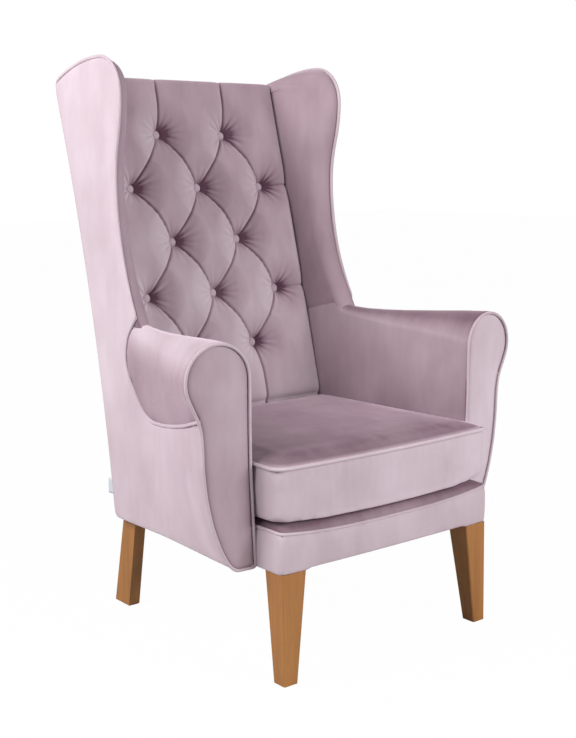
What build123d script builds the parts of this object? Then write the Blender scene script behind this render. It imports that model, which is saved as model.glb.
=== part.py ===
from build123d import *
import os
from math import cos, radians, sin, tan

# Button-backed wing chair with rolled arms and a loose seat cushion.
# Millimetres. X runs across the chair, Y from its front to its back, Z up from the floor.
# The sitter faces -Y. Right-hand pieces are made first and mirrored for the left.

# Overall sizes
overall_depth = 766.0
leg_height = 210.0
arm_height = 632.0
back_height = 1115.0
wing_rise = 35.0
wing_height = back_height + wing_rise
front_y = -overall_depth / 2
rear_y = overall_depth / 2

# Seat box: rails, springs and deck
seat_half_width = 269.0
seat_box_setback = 16.0
rail_height = 68.0
rail_thickness = 25.0
side_rail_inset = 6.0
corner_block_side = 52.0
corner_block_height = 40.0
spring_count = 5
spring_pitch = 86.0
spring_wire = 3.6
spring_wave_width = 46.0
spring_waves = 6
spring_clip_length = 22.0
spring_clip_width = 60.0
felt_thickness = 2.7
deck_thickness = 14.0
dust_cover_thickness = 1.0
dust_cover_lap = 12.0

# Legs
front_leg_top_width = 56.0
front_leg_top_depth = 52.0
front_leg_foot = 32.0
front_leg_kick = 5.0
rear_leg_depth = 46.0
rear_leg_foot_depth = 54.0
rear_leg_thickness = 26.0
rear_leg_rake = 36.0
rear_leg_tuck = 4.0
leg_arris = 2.0
leg_bolt_diameter = 8.0
leg_bolt_in_leg = 55.0

# Seat cushion
cushion_thickness = 105.0
cushion_crown = 19.0
cushion_bow = 12.0
cushion_side_gap = 3.0
cushion_corner = 18.0
cushion_core_margin = 45.0
cushion_core_depth = 70.0

# Cloth, padding and welts
cloth = 4.0
welt = 3.5
seam = 0.2
soft_gap = 0.4
border_padding = 6.0
border_side_cloth = 3.0
border_bow = 5.0
border_corner = 12.0

# Arms: the inner faces open towards the front by the splay angle
splay = 4.2
arm_inner_half_width = 281.0
arm_setback = 81.0
arm_padding = 12.0
arm_crest_drop = 16.0
roll_radius = 69.5
roll_skin = 12.0
roll_seam_height = 494.0
roll_seam_rear_height = 430.0
roll_lean = 20.0
facing_thickness = 14.0
facing_waist = 95.0
facing_waist_height = 340.0
facing_toe = 34.0
facing_heel = 8.0
post_thickness = 18.0
arm_rail_height = 50.0
arm_rail_thickness = 16.0
arm_rail_top = 488.0
sill_height = 60.0

# Outer sides draw in towards the back
side_half_width = 293.0
side_toe = 1.2
rear_hem_drop = 10.0
back_post_thickness = 21.0
wing_board_thickness = 16.0
wing_board_inset = 15.0

# Wing outline in side view, measured forwards from the rear and up or down from the arm and the top
wing_foot_reach = 323.0
wing_foot_rise = 3.0
wing_waist_reach = 249.0
wing_waist_rise = 268.0
wing_ear_reach = 274.0
wing_ear_drop = 78.0
wing_ear_length = 76.0
rear_corner_drop = 11.0
notch_reach = 280.0
notch_drop = 90.0
notch_foot_reach = 375.0

# Back
back_reach = 265.0
seat_back_height = 415.0
recline = 14.0
back_padding = 42.0
back_lean = 213.0
back_hollow = 24.0
back_cap = 22.0
back_rail_depth = 24.0
back_rail_height = 46.0
lower_back_rail_height = 380.0
webbing_width = 50.0
webbing_thickness = 2.0
webbing_lap = 4.0
button_rows = 5
button_spacing = 174.0
button_row_pitch = 115.0
button_first_drop = 111.0
button_diameter = 24.0
button_height = 7.0
tuft_depth = 24.0
tuft_mouth = 44.0
pleat_width = 22.0
pleat_depth = 12.0
twine_diameter = 2.4

# Frame bolts and the blank tag in the rear seam
frame_bolt_diameter = 8.0
frame_bolt_length = 44.0
frame_bolt_head = 14.0
frame_bolt_fronts = (130.0, 330.0)
hole_clearance = 0.3
tag_length = 13.0
tag_height = 32.0
tag_thickness = 0.8
tag_bottom = 247.0

# Places worked out from the sizes
rail_top = leg_height + rail_height
seat_front_y = front_y + seat_box_setback
rear_bottom_y = rear_y - back_lean
seat_rear_y = rear_bottom_y - cloth - 2 * seam
spring_z = rail_top + spring_wire / 2 + seam
felt_bottom = spring_z + spring_wire / 2 + seam
deck_bottom = felt_bottom + felt_thickness
deck_top = deck_bottom + deck_thickness
cushion_bottom = deck_top + soft_gap
cushion_welt_z = cushion_bottom + cushion_thickness
seat_depth = overall_depth - back_reach
seat_back_y = front_y + seat_depth
arm_front_y = front_y + arm_setback
roll_centre_z = arm_height - roll_radius
rear_corner_z = back_height - rear_corner_drop
notch_foot_y = rear_y - notch_foot_reach
arm_crest_rear = arm_height - arm_crest_drop
frame_depth = back_padding + 2 * seam + webbing_thickness + 4 * seam
side_rail_outer = seat_half_width - side_rail_inset
side_rail_inner = side_rail_outer - rail_thickness
welt_inset = welt + 1.5 * seam
panel_inset = 2 * welt_inset

side_plane = Plane(
    origin=(side_half_width, 0, 0),
    x_dir=(-sin(radians(side_toe)), cos(radians(side_toe)), 0),
    z_dir=(cos(radians(side_toe)), sin(radians(side_toe)), 0),
)
back_plane = Plane(
    origin=(0, seat_back_y, seat_back_height),
    x_dir=(1, 0, 0),
    z_dir=(0, -cos(radians(recline)), sin(radians(recline))),
)
arm_place = Location((arm_inner_half_width, arm_front_y, 0), (0, 0, splay))
inner_plane = Plane(
    origin=(arm_inner_half_width, arm_front_y, 0),
    x_dir=(-sin(radians(splay)), cos(radians(splay)), 0),
    z_dir=(cos(radians(splay)), sin(radians(splay)), 0),
)

parts = {}


def both_sides(name, right_piece):
    """Keep a right-hand piece and its mirror image."""
    parts[name + "_right"] = right_piece
    parts[name + "_left"] = mirror(right_piece, about=Plane.YZ)


def block(x_range, y_range, z_range):
    """A box between three pairs of coordinates."""
    size = [high - low for low, high in (x_range, y_range, z_range)]
    corner = Location((x_range[0], y_range[0], z_range[0]))
    return corner * Box(*size, align=(Align.MIN, Align.MIN, Align.MIN))


def back_face_y(z, depth=0.0):
    """Y of the inside back's front face at a height, or of a layer behind it."""
    return seat_back_y + tan(radians(recline)) * (z - seat_back_height) + depth / cos(radians(recline))


def inner_arm_x(y, clearance=0.0):
    """X of the right inside arm at a given Y."""
    return arm_inner_half_width - tan(radians(splay)) * (y - arm_front_y) - clearance


def side_x(y, depth=0.0):
    """X of the right outer side at a given Y, or of a layer inside it."""
    return side_half_width - tan(radians(side_toe)) * y - depth / cos(radians(side_toe))


def hem_z(y):
    """Height of the outside panels' lower edge, which drops a little towards the back."""
    return leg_height - rear_hem_drop * (y - arm_front_y) / (rear_bottom_y - arm_front_y)


def side_board(outline, depth, thickness):
    """A board parallel to the chair's right side, a given depth inside its outer face."""
    return extrude(side_plane.offset(-depth) * make_face(outline), amount=-thickness)


def arm_board(outline, start, thickness):
    """A board square to the arm, whose outline is given as (outward, up) points."""
    plane = Plane(origin=(0, start, 0), x_dir=(1, 0, 0), z_dir=(0, -1, 0))
    return arm_place * extrude(plane * make_face(outline), amount=-thickness)


def tube(path, radius):
    """A round tube along a smooth path."""
    return sweep((path ^ 0) * Circle(radius), path=path)


def rear_point(z, inset=0.0):
    """A point on the hollow rear line of the chair in side view."""
    share = (z - leg_height) / (rear_corner_z - leg_height)
    hollow = 4 * back_hollow * share * (1 - share)
    return (rear_bottom_y + back_lean * share - hollow - inset, z)


def rear_edge(inset, low, high):
    """The rear line in side view, from height high down to low."""
    middle = (low + high) / 2
    return ThreePointArc(rear_point(high, inset), rear_point(middle, inset), rear_point(low, inset))


def wing_edge(inset):
    """The wing's edge in side view, from the arm over the waist and the ear to the rear corner."""
    foot = wing_foot(inset)
    waist = (rear_y - wing_waist_reach + inset, arm_height + wing_waist_rise)
    ear = (rear_y - wing_ear_reach + inset, wing_height - wing_ear_drop)
    bend = ((waist[0] + ear[0]) / 2, (waist[1] + ear[1]) / 2)
    apex = (rear_y - wing_ear_reach + wing_ear_length, wing_height - inset)
    corner = wing_corner(inset)
    return [
        TangentArc(waist, foot, tangent=(0, -1)),
        TangentArc(waist, bend, tangent=(0, 1)),
        TangentArc(ear, bend, tangent=(0, -1)),
        TangentArc(ear, apex, tangent=(0, 1)),
        TangentArc(apex, corner, tangent=(1, 0)),
    ]


def wing_foot(inset):
    """Where the wing's edge meets the arm, in side view."""
    return (rear_y - wing_foot_reach + 1.35 * inset, arm_height + wing_foot_rise)


def wing_corner(inset):
    """The wing's top rear corner in side view."""
    return (rear_y, rear_corner_z - 1.1 * inset)


def notch_edge(inset):
    """The line round the rear end of the arm roll, in side view, up to the wing's foot."""
    low = (notch_foot_y, roll_seam_rear_height - inset)
    middle = (rear_y - notch_reach + inset, arm_height - notch_drop)
    return ThreePointArc(low, middle, wing_foot(inset))


def facing_edge(inset):
    """The arm facing's outline as (outward, up) points, from its inner foot to its outer foot."""
    lean = radians(roll_lean)
    reach = roll_radius - inset
    crown = (roll_radius, arm_height - inset)
    inner = (inset, roll_centre_z)
    outer = (2 * roll_radius - inset, roll_centre_z)
    shoulder = (roll_radius + reach * cos(lean), roll_centre_z - reach * sin(lean))
    neck = (seam_point()[0] - inset, roll_seam_height)
    half = sin(radians(45)) * reach
    waist = (facing_waist - inset, facing_waist_height)
    toe = (facing_toe - inset, leg_height)
    hip = (0.35 * toe[0] + 0.65 * waist[0] + 3, 0.55 * toe[1] + 0.45 * waist[1])
    throat = (0.45 * neck[0] + 0.55 * waist[0] - 3, 0.45 * neck[1] + 0.55 * waist[1])
    return [
        Line((inset - facing_heel, leg_height), (inset, deck_top)),
        Line((inset, deck_top), inner),
        ThreePointArc(inner, (roll_radius - half, roll_centre_z + half), crown),
        ThreePointArc(crown, (roll_radius + half, roll_centre_z + half), outer),
        ThreePointArc(
            outer,
            (roll_radius + reach * cos(lean / 2), roll_centre_z - reach * sin(lean / 2)),
            shoulder,
        ),
        Line(shoulder, neck),
        ThreePointArc(neck, throat, waist),
        ThreePointArc(waist, hip, toe),
    ]


def seam_point():
    """Where the roll's underside seam reaches the facing, as an (outward, up) point."""
    lean = radians(roll_lean)
    shoulder = (roll_radius + roll_radius * cos(lean), roll_centre_z - roll_radius * sin(lean))
    return (shoulder[0] - tan(lean) * (shoulder[1] - roll_seam_height), roll_seam_height)


# Legs
def make_front_leg():
    """Square tapered leg, upright on its front and outer faces, that kicks forward a little."""
    outer_x = seat_half_width - 1
    top = block((0, front_leg_top_width), (0, front_leg_top_depth), (0, 1)).faces().sort_by(Axis.Z)[0]
    foot = block((0, front_leg_foot), (0, front_leg_foot), (0, 1)).faces().sort_by(Axis.Z)[0]
    top_corner = (outer_x - front_leg_top_width, seat_front_y - border_padding, leg_height)
    foot_corner = (outer_x - front_leg_foot, seat_front_y - border_padding - front_leg_kick, 0)
    leg = loft([Location(foot_corner) * foot, Location(top_corner) * top], ruled=True)
    leg = chamfer(leg.edges().filter_by(Axis.Z, reverse=True).group_by(Axis.Z)[1], leg_arris)
    return leg


def front_bolt_place():
    """Centre of the front leg's bolt, in the corner block inside the rails."""
    return (
        side_rail_inner - leg_bolt_diameter,
        seat_front_y + rail_thickness + leg_bolt_diameter,
    )


def rear_leg_front():
    """Y of the rear leg's front face at its top."""
    return seat_rear_y - rear_leg_tuck - rear_leg_depth


def rear_bolt_place():
    """Centre of the rear leg's bolt, in the side rail."""
    return (side_rail_outer - rail_thickness / 2, rear_leg_front() + 0.5 * rear_leg_depth)


def make_rear_leg():
    """Board leg, raked backwards."""
    y = rear_leg_front()
    outline = Polyline(
        (y, leg_height),
        (y + rear_leg_rake, 0),
        (y + rear_leg_rake + rear_leg_foot_depth, 0),
        (y + rear_leg_depth, leg_height),
        close=True,
    )
    plane = Plane(origin=(seat_half_width - 1, 0, 0), x_dir=(0, 1, 0), z_dir=(1, 0, 0))
    leg = extrude(plane * make_face(outline), amount=-rear_leg_thickness)
    return chamfer(leg.edges().group_by(Axis.Z)[0], leg_arris)


def upright_rod(place, diameter, low, high):
    """A round rod standing between two heights."""
    return Location((*place, low)) * Cylinder(
        diameter / 2, high - low, align=(Align.CENTER, Align.CENTER, Align.MIN)
    )


block_top = leg_height + corner_block_height
bolt_low = leg_height - leg_bolt_in_leg
front_bolt_hole = upright_rod(
    front_bolt_place(), leg_bolt_diameter + hole_clearance, bolt_low - seam, block_top + 1
)
rear_bolt_high = rail_top - leg_bolt_diameter
rear_bolt_hole = upright_rod(
    rear_bolt_place(), leg_bolt_diameter + hole_clearance, bolt_low - seam, rear_bolt_high + seam
)
both_sides("front_leg", make_front_leg() - front_bolt_hole)
both_sides("rear_leg", make_rear_leg() - rear_bolt_hole)

front_bolt = upright_rod(front_bolt_place(), leg_bolt_diameter, bolt_low, block_top + leg_bolt_diameter)
front_nut = Location((*front_bolt_place(), block_top)) * extrude(
    RegularPolygon(0.8 * leg_bolt_diameter, 6), amount=0.7 * leg_bolt_diameter
)
rear_bolt = upright_rod(rear_bolt_place(), leg_bolt_diameter, bolt_low, rear_bolt_high)
right_leg_bolts = [front_bolt + front_nut, rear_bolt]
parts["leg_bolts"] = Compound(
    right_leg_bolts + [mirror(bolt, about=Plane.YZ) for bolt in right_leg_bolts]
)

# Seat box
rear_rail_front = seat_rear_y - rail_thickness
rail_z = (leg_height, rail_top)
parts["front_rail"] = block(
    (-seat_half_width, seat_half_width), (seat_front_y, seat_front_y + rail_thickness), rail_z
)
parts["rear_rail"] = block((-side_rail_inner, side_rail_inner), (rear_rail_front, seat_rear_y), rail_z)
side_rail = block(
    (side_rail_inner, side_rail_outer), (seat_front_y + rail_thickness, seat_rear_y), rail_z
)


def across_bolt(y, z, diameter, start_x, length):
    """A rod that runs outwards across the chair."""
    return Location((start_x, y, z), (0, 90, 0)) * Cylinder(
        diameter / 2, length, align=(Align.CENTER, Align.CENTER, Align.MIN)
    )


frame_bolt_z = leg_height + sill_height / 2
frame_bolt_ys = [arm_front_y + run for run in frame_bolt_fronts]
frame_bolts = []
frame_bolt_holes = []
for bolt_y in frame_bolt_ys:
    shank = across_bolt(bolt_y, frame_bolt_z, frame_bolt_diameter, side_rail_inner, frame_bolt_length)
    head = across_bolt(bolt_y, frame_bolt_z, frame_bolt_head, side_rail_inner - 5, 5)
    frame_bolts.append(shank + head)
    frame_bolt_holes.append(
        across_bolt(
            bolt_y,
            frame_bolt_z,
            frame_bolt_diameter + hole_clearance,
            side_rail_inner - 1,
            frame_bolt_length + 1 + seam,
        )
    )
parts["frame_bolts"] = Compound(frame_bolts + [mirror(bolt, about=Plane.YZ) for bolt in frame_bolts])
both_sides("side_rail", side_rail - rear_bolt_hole - frame_bolt_holes)


def corner_block(corner, direction_y):
    """A glue block with a sloping inner face, in a corner of the seat box."""
    x, y = corner
    outline = Polyline(
        (x, y), (x - corner_block_side, y), (x, y + direction_y * corner_block_side), close=True
    )
    return extrude(Location((0, 0, leg_height)) * make_face(outline), amount=corner_block_height)


right_blocks = [
    corner_block((side_rail_inner, seat_front_y + rail_thickness), 1) - front_bolt_hole,
    corner_block((side_rail_inner, rear_rail_front), -1),
]
parts["corner_blocks"] = Compound(
    right_blocks + [mirror(piece, about=Plane.YZ) for piece in right_blocks]
)


def make_spring(x):
    """One zig-zag spring that runs from the front rail to the rear rail."""
    start = seat_front_y + rail_thickness / 2
    end = seat_rear_y - rail_thickness / 2
    step = (end - start) / (2 * spring_waves + 1)
    points = [(x, start)]
    for wave in range(2 * spring_waves):
        side = 1 if wave % 2 else -1
        y = start + step * (wave + 0.5)
        points.append((x + side * spring_wave_width / 2, y))
        points.append((x + side * spring_wave_width / 2, y + step))
    points.append((x, end))
    path = FilletPolyline(points, radius=0.42 * step)
    wire = tube(path, spring_wire / 2)
    return Location((0, 0, spring_z)) * wire


spring_xs = [(index - (spring_count - 1) / 2) * spring_pitch for index in range(spring_count)]
parts["seat_springs"] = Compound([make_spring(x) for x in spring_xs])


def make_spring_clip(x, y):
    """A folded steel clip that holds a spring's end down on its rail."""
    height = spring_wire + 2 * seam + 1
    clip = block(
        (x - spring_clip_width / 2, x + spring_clip_width / 2),
        (y - spring_clip_length / 2, y + spring_clip_length / 2),
        (rail_top, rail_top + height),
    )
    tunnel = block(
        (x - spring_clip_width / 2 + 2, x + spring_clip_width / 2 - 2),
        (y - spring_clip_length, y + spring_clip_length),
        (rail_top - 1, rail_top + spring_wire + 2 * seam),
    )
    return clip - tunnel


clip_ys = [seat_front_y + rail_thickness / 2, seat_rear_y - rail_thickness / 2]
clips = [make_spring_clip(x, y) for x in spring_xs for y in clip_ys]
parts["spring_clips"] = Compound(clips)


def seat_sheet(front, rear, bottom, thickness, margin):
    """A flat layer over the seat that widens towards the front with the arms."""
    corners = [
        (inner_arm_x(front) + margin, front),
        (inner_arm_x(rear) + margin, rear),
        (-inner_arm_x(rear) - margin, rear),
        (-inner_arm_x(front) - margin, front),
    ]
    sheet = extrude(make_face(Polyline(*corners, close=True)), amount=thickness)
    return Location((0, 0, bottom)) * sheet


felt_front = clip_ys[0] + spring_clip_length / 2 + 1
felt_rear = clip_ys[1] - spring_clip_length / 2 - 1
parts["spring_felt"] = seat_sheet(felt_front, felt_rear, felt_bottom, felt_thickness, -30)
deck_half = seat_half_width + border_side_cloth - panel_inset
parts["seat_deck"] = block(
    (-deck_half, deck_half),
    (seat_front_y - border_padding + panel_inset, back_face_y(deck_bottom) - 2),
    (deck_bottom, deck_top),
)

dust_cover = block(
    (-side_rail_inner - dust_cover_lap, side_rail_inner + dust_cover_lap),
    (seat_front_y + rail_thickness - dust_cover_lap, rear_rail_front + dust_cover_lap),
    (leg_height - dust_cover_thickness, leg_height),
)
for leg_name in ("front_leg_left", "front_leg_right", "rear_leg_left", "rear_leg_right"):
    around_leg = parts[leg_name].bounding_box()
    dust_cover -= block(
        (around_leg.min.X - 1, around_leg.max.X + 1),
        (around_leg.min.Y - 1, around_leg.max.Y + 1),
        (leg_height - 5, leg_height + 1),
    )
parts["dust_cover"] = dust_cover

# Front border and its welt
border_top = rail_top - seam
border_end_y = arm_front_y - soft_gap
border_half = seat_half_width + border_side_cloth


def border_line(inset):
    """The border's outer line in plan, from the left arm round the front to the right arm."""
    half = border_half - inset
    y = seat_front_y - border_padding + inset
    line = Wire([
        Line((-half, border_end_y), (-half, y)),
        ThreePointArc((-half, y), (0, y - border_bow), (half, y)),
        Line((half, y), (half, border_end_y)),
    ])
    corners = line.vertices().sort_by(Axis.Y)[:2]
    return line.fillet_2d(border_corner - inset, corners)


def make_front_border():
    """Padded cloth band round the front of the seat box."""
    inner = seat_half_width + seam
    back_line = Polyline(
        (border_half, border_end_y),
        (inner, border_end_y),
        (inner, seat_front_y - seam),
        (-inner, seat_front_y - seam),
        (-inner, border_end_y),
        (-border_half, border_end_y),
    )
    plan = make_face(border_line(0).edges() + back_line.edges())
    return Location((0, 0, leg_height)) * extrude(plan, amount=border_top - leg_height)


def make_border_welt():
    """Welt along the border's top edge."""
    return Location((0, 0, rail_top + welt + seam)) * tube(border_line(welt), welt)


parts["front_border"] = make_front_border()
parts["border_welt"] = make_border_welt()


# Seat cushion
def cushion_plan(z, inset):
    """The cushion's outline at a height, drawn in by an inset."""
    front = front_y + cushion_bow + inset
    rear = back_face_y(min(z, cushion_welt_z)) - soft_gap - 2 - inset
    corners = [
        (inner_arm_x(front, cushion_side_gap) - inset, front),
        (inner_arm_x(rear, cushion_side_gap) - inset, rear),
        (-inner_arm_x(rear, cushion_side_gap) + inset, rear),
        (-inner_arm_x(front, cushion_side_gap) + inset, front),
    ]
    line = Polyline(*corners)
    bow = ThreePointArc(corners[3], (0, front - cushion_bow), corners[0])
    face = fillet(make_face(line.edges() + [bow]).vertices(), cushion_corner)
    return Location((0, 0, z)) * face


def make_cushion():
    """Crowned cushion: drawn in at its foot and at the welt, swelling between them."""
    groove = 2 * welt + seam
    middle = (cushion_bottom + cushion_welt_z) / 2
    levels = [
        (cushion_bottom, 14),
        (cushion_bottom + 14, 4),
        (middle, 0),
        (cushion_welt_z - 2 * welt, groove - 2),
        (cushion_welt_z - welt, groove),
        (cushion_welt_z + welt, groove),
        (cushion_welt_z + 0.5 * cushion_crown, 28),
        (cushion_welt_z + 0.82 * cushion_crown, 75),
        (cushion_welt_z + cushion_crown, 140),
    ]
    return loft([cushion_plan(z, inset) for z, inset in levels], ruled=True)


core_bottom = cushion_bottom + (cushion_thickness - cushion_core_depth) / 2
core_face = cushion_plan(core_bottom, cushion_core_margin)
cushion_core = extrude(core_face, amount=cushion_core_depth)
parts["seat_cushion"] = make_cushion() - cushion_core
parts["cushion_core"] = cushion_core
welt_line = cushion_plan(cushion_welt_z, welt).wire()
parts["cushion_welt"] = sweep((welt_line ^ 0) * Circle(welt), path=welt_line)

# Back frame
def up_the_back(z):
    """Distance up the back's face from the seat for a height."""
    return (z - seat_back_height) / cos(radians(recline))


def on_back(piece):
    """Place a piece drawn on the back's own face."""
    return back_plane * piece


frame_head = up_the_back(back_height) - back_cap
back_post_top = seat_back_height + frame_head * cos(radians(recline)) - frame_depth * sin(radians(recline))


def layer_edge(depth, low, high):
    """A straight line in side view along a layer of the back."""
    return Line((back_face_y(low, depth), low), (back_face_y(high, depth), high))


def make_back_post():
    """Upright of the back, hollow along its rear edge."""
    rear = rear_edge(cloth + 2 * seam, leg_height, back_post_top)
    front = layer_edge(frame_depth, leg_height, back_post_top)
    outline = [rear, front, Line(rear @ 1, front @ 0), Line(front @ 1, rear @ 0)]
    return side_board(outline, cloth + seam, back_post_thickness)


def make_back_rail(top):
    """A rail between the two back posts, whose upper edge lies a distance up the back."""
    z = seat_back_height + top * cos(radians(recline))
    rear = back_face_y(z, frame_depth + back_rail_depth)
    half = side_x(rear, cloth + seam + back_post_thickness) - seam
    centre = (0, top - back_rail_height / 2, -frame_depth - back_rail_depth / 2)
    return on_back(Location(centre) * Box(2 * half, back_rail_height, back_rail_depth))


both_sides("back_post", make_back_post())
parts["back_top_rail"] = make_back_rail(frame_head)
parts["back_lower_rail"] = make_back_rail(up_the_back(lower_back_rail_height))

# Buttons: alternate rows of two and three
button_heights = [back_height - button_first_drop - row * button_row_pitch for row in range(button_rows)]


def row_columns(row):
    """X of the buttons in a row."""
    if row % 2 == 0:
        return [-button_spacing / 2, button_spacing / 2]
    return [-button_spacing, 0, button_spacing]


button_places = [
    (x, up_the_back(z)) for row, z in enumerate(button_heights) for x in row_columns(row)
]


def make_pad_blank():
    """The inside back before buttoning: a slab between the wings that rolls over the top rail."""
    foot = up_the_back(deck_top + 2)
    head = up_the_back(back_height)
    wide = 2 * arm_inner_half_width
    slab = Location((0, (foot + head) / 2, -back_padding / 2)) * Box(wide, head - foot, back_padding)
    lip = frame_head + soft_gap
    cap_depth = frame_depth + back_rail_depth
    cap = Location((0, (lip + head) / 2, -cap_depth / 2)) * Box(wide, head - lip, cap_depth)
    pad = slab + cap
    top_edges = pad.edges().filter_by(Axis.X).group_by(Axis.Y)[-1]
    return fillet(top_edges, 0.45 * (head - lip))


def pleat(start, end):
    """A V-shaped cutter for the fold between two points of the back's face."""
    run = Vector(*end) - Vector(*start)
    angle = run.get_angle(Vector(1, 0)) * (1 if run.Y >= 0 else -1)
    section = Polyline(
        (-pleat_width / 2, 1), (0, -pleat_depth), (pleat_width / 2, 1), close=True
    )
    prism = extrude(Plane.YZ * make_face(section), amount=run.length)
    return Location((*start, 0), (0, 0, angle)) * prism


def pleat_lines():
    """Folds from each button to its neighbours, and from the outer ones to the pad's edges."""
    lines = []
    half = button_spacing / 2
    for row in range(button_rows - 1):
        lower = row_columns(row + 1)
        for x in row_columns(row):
            for neighbour in (x - half, x + half):
                if neighbour in lower:
                    start = (x, up_the_back(button_heights[row]))
                    lines.append((start, (neighbour, up_the_back(button_heights[row + 1]))))
    for x in row_columns(0):
        lines.append(((x, up_the_back(button_heights[0])), (x, up_the_back(back_height))))
    for x in row_columns(button_rows - 1):
        lines.append(((x, up_the_back(button_heights[-1])), (x, up_the_back(deck_top))))
    for row in range(1, button_rows, 2):
        s = up_the_back(button_heights[row])
        for side in (-1, 1):
            lines.append(((side * button_spacing, s), (side * arm_inner_half_width, s)))
    return lines


def make_back_pad():
    """Deep-buttoned inside back, cut to the wings on both sides."""
    pad = make_pad_blank()
    pad -= [pleat(start, end) for start, end in pleat_lines()]
    button_seat = button_diameter / 2 + 1
    tufts = [
        Location((x, s, 0.5)) * Cone(button_seat, tuft_mouth / 2, tuft_depth + 0.5,
                                     align=(Align.CENTER, Align.CENTER, Align.MAX))
        for x, s in button_places
    ]
    holes = [
        Location((x, s, -back_padding / 2)) * Cylinder(twine_diameter / 2 + 0.3, 2 * back_padding)
        for x, s in button_places
    ]
    pad = on_back(pad - tufts - holes)
    right = inner_plane.offset(-soft_gap)
    left = Plane(origin=(-right.origin.X, right.origin.Y, 0), z_dir=(-right.z_dir.X, right.z_dir.Y, 0))
    pad = split(pad, bisect_by=right, keep=Keep.BOTTOM)
    return split(pad, bisect_by=left, keep=Keep.BOTTOM)


def make_button(x, s):
    """A covered button with a domed face."""
    radius = button_diameter / 2
    section = [
        Line((0, 0), (radius, 0)),
        Line((radius, 0), (radius, 0.3 * button_height)),
        TangentArc((0, button_height), (radius, 0.3 * button_height), tangent=(1, 0)),
        Line((0, button_height), (0, 0)),
    ]
    dome = revolve(Plane.XZ * make_face(section), axis=Axis.Z)
    return on_back(Location((x, s, -tuft_depth + seam)) * dome)


def make_twine(x, s):
    """The twine that pulls a button back to the webbing."""
    length = back_padding + seam - tuft_depth
    rod = Cylinder(twine_diameter / 2, length, align=(Align.CENTER, Align.CENTER, Align.MAX))
    return on_back(Location((x, s, -tuft_depth)) * rod)


def make_webbing(row):
    """A strap across the back posts behind a row of buttons."""
    z = button_heights[row]
    half = side_x(back_face_y(z, frame_depth), cloth + back_post_thickness) + webbing_lap
    centre = -(back_padding + 2 * seam + webbing_thickness / 2)
    return on_back(
        Location((0, up_the_back(z), centre)) * Box(2 * half, webbing_width, webbing_thickness)
    )


parts["back_pad"] = make_back_pad()
parts["back_buttons"] = Compound([make_button(x, s) for x, s in button_places])
parts["button_twines"] = Compound([make_twine(x, s) for x, s in button_places])
parts["back_webbing"] = Compound([make_webbing(row) for row in range(button_rows)])


def make_outside_back():
    """The cloth panel over the chair's back, between the two outside panels."""
    top = wing_corner(panel_inset)[1] - welt
    hem = hem_z(rear_bottom_y)
    outer = rear_edge(0, hem, top)
    inner = rear_edge(cloth, hem, top)
    outline = [outer, inner, Line(outer @ 0, inner @ 0), Line(outer @ 1, inner @ 1)]
    plane = Plane(origin=(-2 * side_half_width, 0, 0), x_dir=(0, 1, 0), z_dir=(1, 0, 0))
    panel = extrude(plane * make_face(outline), amount=4 * side_half_width)
    right = side_plane.offset(-cloth - seam)
    left = Plane(origin=(-right.origin.X, right.origin.Y, 0), z_dir=(-right.z_dir.X, right.z_dir.Y, 0))
    panel = split(panel, bisect_by=right, keep=Keep.BOTTOM)
    return split(panel, bisect_by=left, keep=Keep.BOTTOM)


parts["outside_back"] = make_outside_back()

# Wings
pad_rear = back_padding + seam
wing_bottom = arm_crest_rear + soft_gap


def wing_outline(inset, depth):
    """A closed wing shape in side view: the wing's edge, a layer of the back, a level foot."""
    edge = wing_edge(inset)
    foot = wing_foot(inset)
    rear_top = (back_face_y(back_post_top - 2 * welt, depth), back_post_top - 2 * welt)
    rear_foot = (back_face_y(foot[1], depth), foot[1])
    return edge[:4] + [
        TangentArc(edge[3] @ 1, rear_top, tangent=(1, 0)),
        Line(rear_top, rear_foot),
        Line(rear_foot, foot),
    ]


def make_inside_wing():
    """Padding on the wing's inner side that wraps round its board and over the back post."""
    plane = Plane(origin=(side_half_width, 0, 0), x_dir=(0, 1, 0), z_dir=(1, 0, 0))
    edge = wing_edge(seam)
    foot = wing_foot(seam)
    step = back_post_top + 2
    corner = rear_point(wing_corner(panel_inset)[1] - welt, cloth + 2 * seam)
    rear_foot = (back_face_y(wing_bottom, pad_rear), wing_bottom)
    outline = edge[:4] + [
        TangentArc(edge[3] @ 1, corner, tangent=(1, 0)),
        Line(corner, rear_point(step, cloth + 2 * seam)),
        Line(rear_point(step, cloth + 2 * seam), (back_face_y(step, pad_rear), step)),
        Line((back_face_y(step, pad_rear), step), rear_foot),
        Line(rear_foot, (foot[0], wing_bottom)),
        Line((foot[0], wing_bottom), foot),
    ]
    blank = extrude(plane * make_face(outline), amount=-side_half_width / 2)
    blank = split(blank, bisect_by=inner_plane, keep=Keep.TOP)
    blank = split(blank, bisect_by=side_plane.offset(-panel_inset), keep=Keep.BOTTOM)
    slot = side_board(
        wing_outline(wing_board_inset - seam, frame_depth), cloth, wing_board_thickness + 2 * seam
    )
    return blank - slot


wing_board = side_board(
    wing_outline(wing_board_inset, frame_depth - seam), cloth + seam, wing_board_thickness
)
both_sides("wing_board", wing_board)
both_sides("inside_wing", make_inside_wing())

# Arms
arm_rail_run = (facing_thickness + post_thickness, seat_depth)
post_edge_inset = roll_skin


def make_arm_post():
    """Front board of the arm, with the scroll shape of the facing."""
    edge = facing_edge(post_edge_inset)
    inner_foot = (arm_padding + seam, leg_height)
    inner_top = (arm_padding + seam, roll_centre_z)
    outline = edge[2:] + [
        Line((post_edge_inset, roll_centre_z), inner_top),
        Line(inner_top, inner_foot),
        Line(inner_foot, edge[-1] @ 1),
    ]
    return arm_board(outline, facing_thickness, post_thickness)


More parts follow.
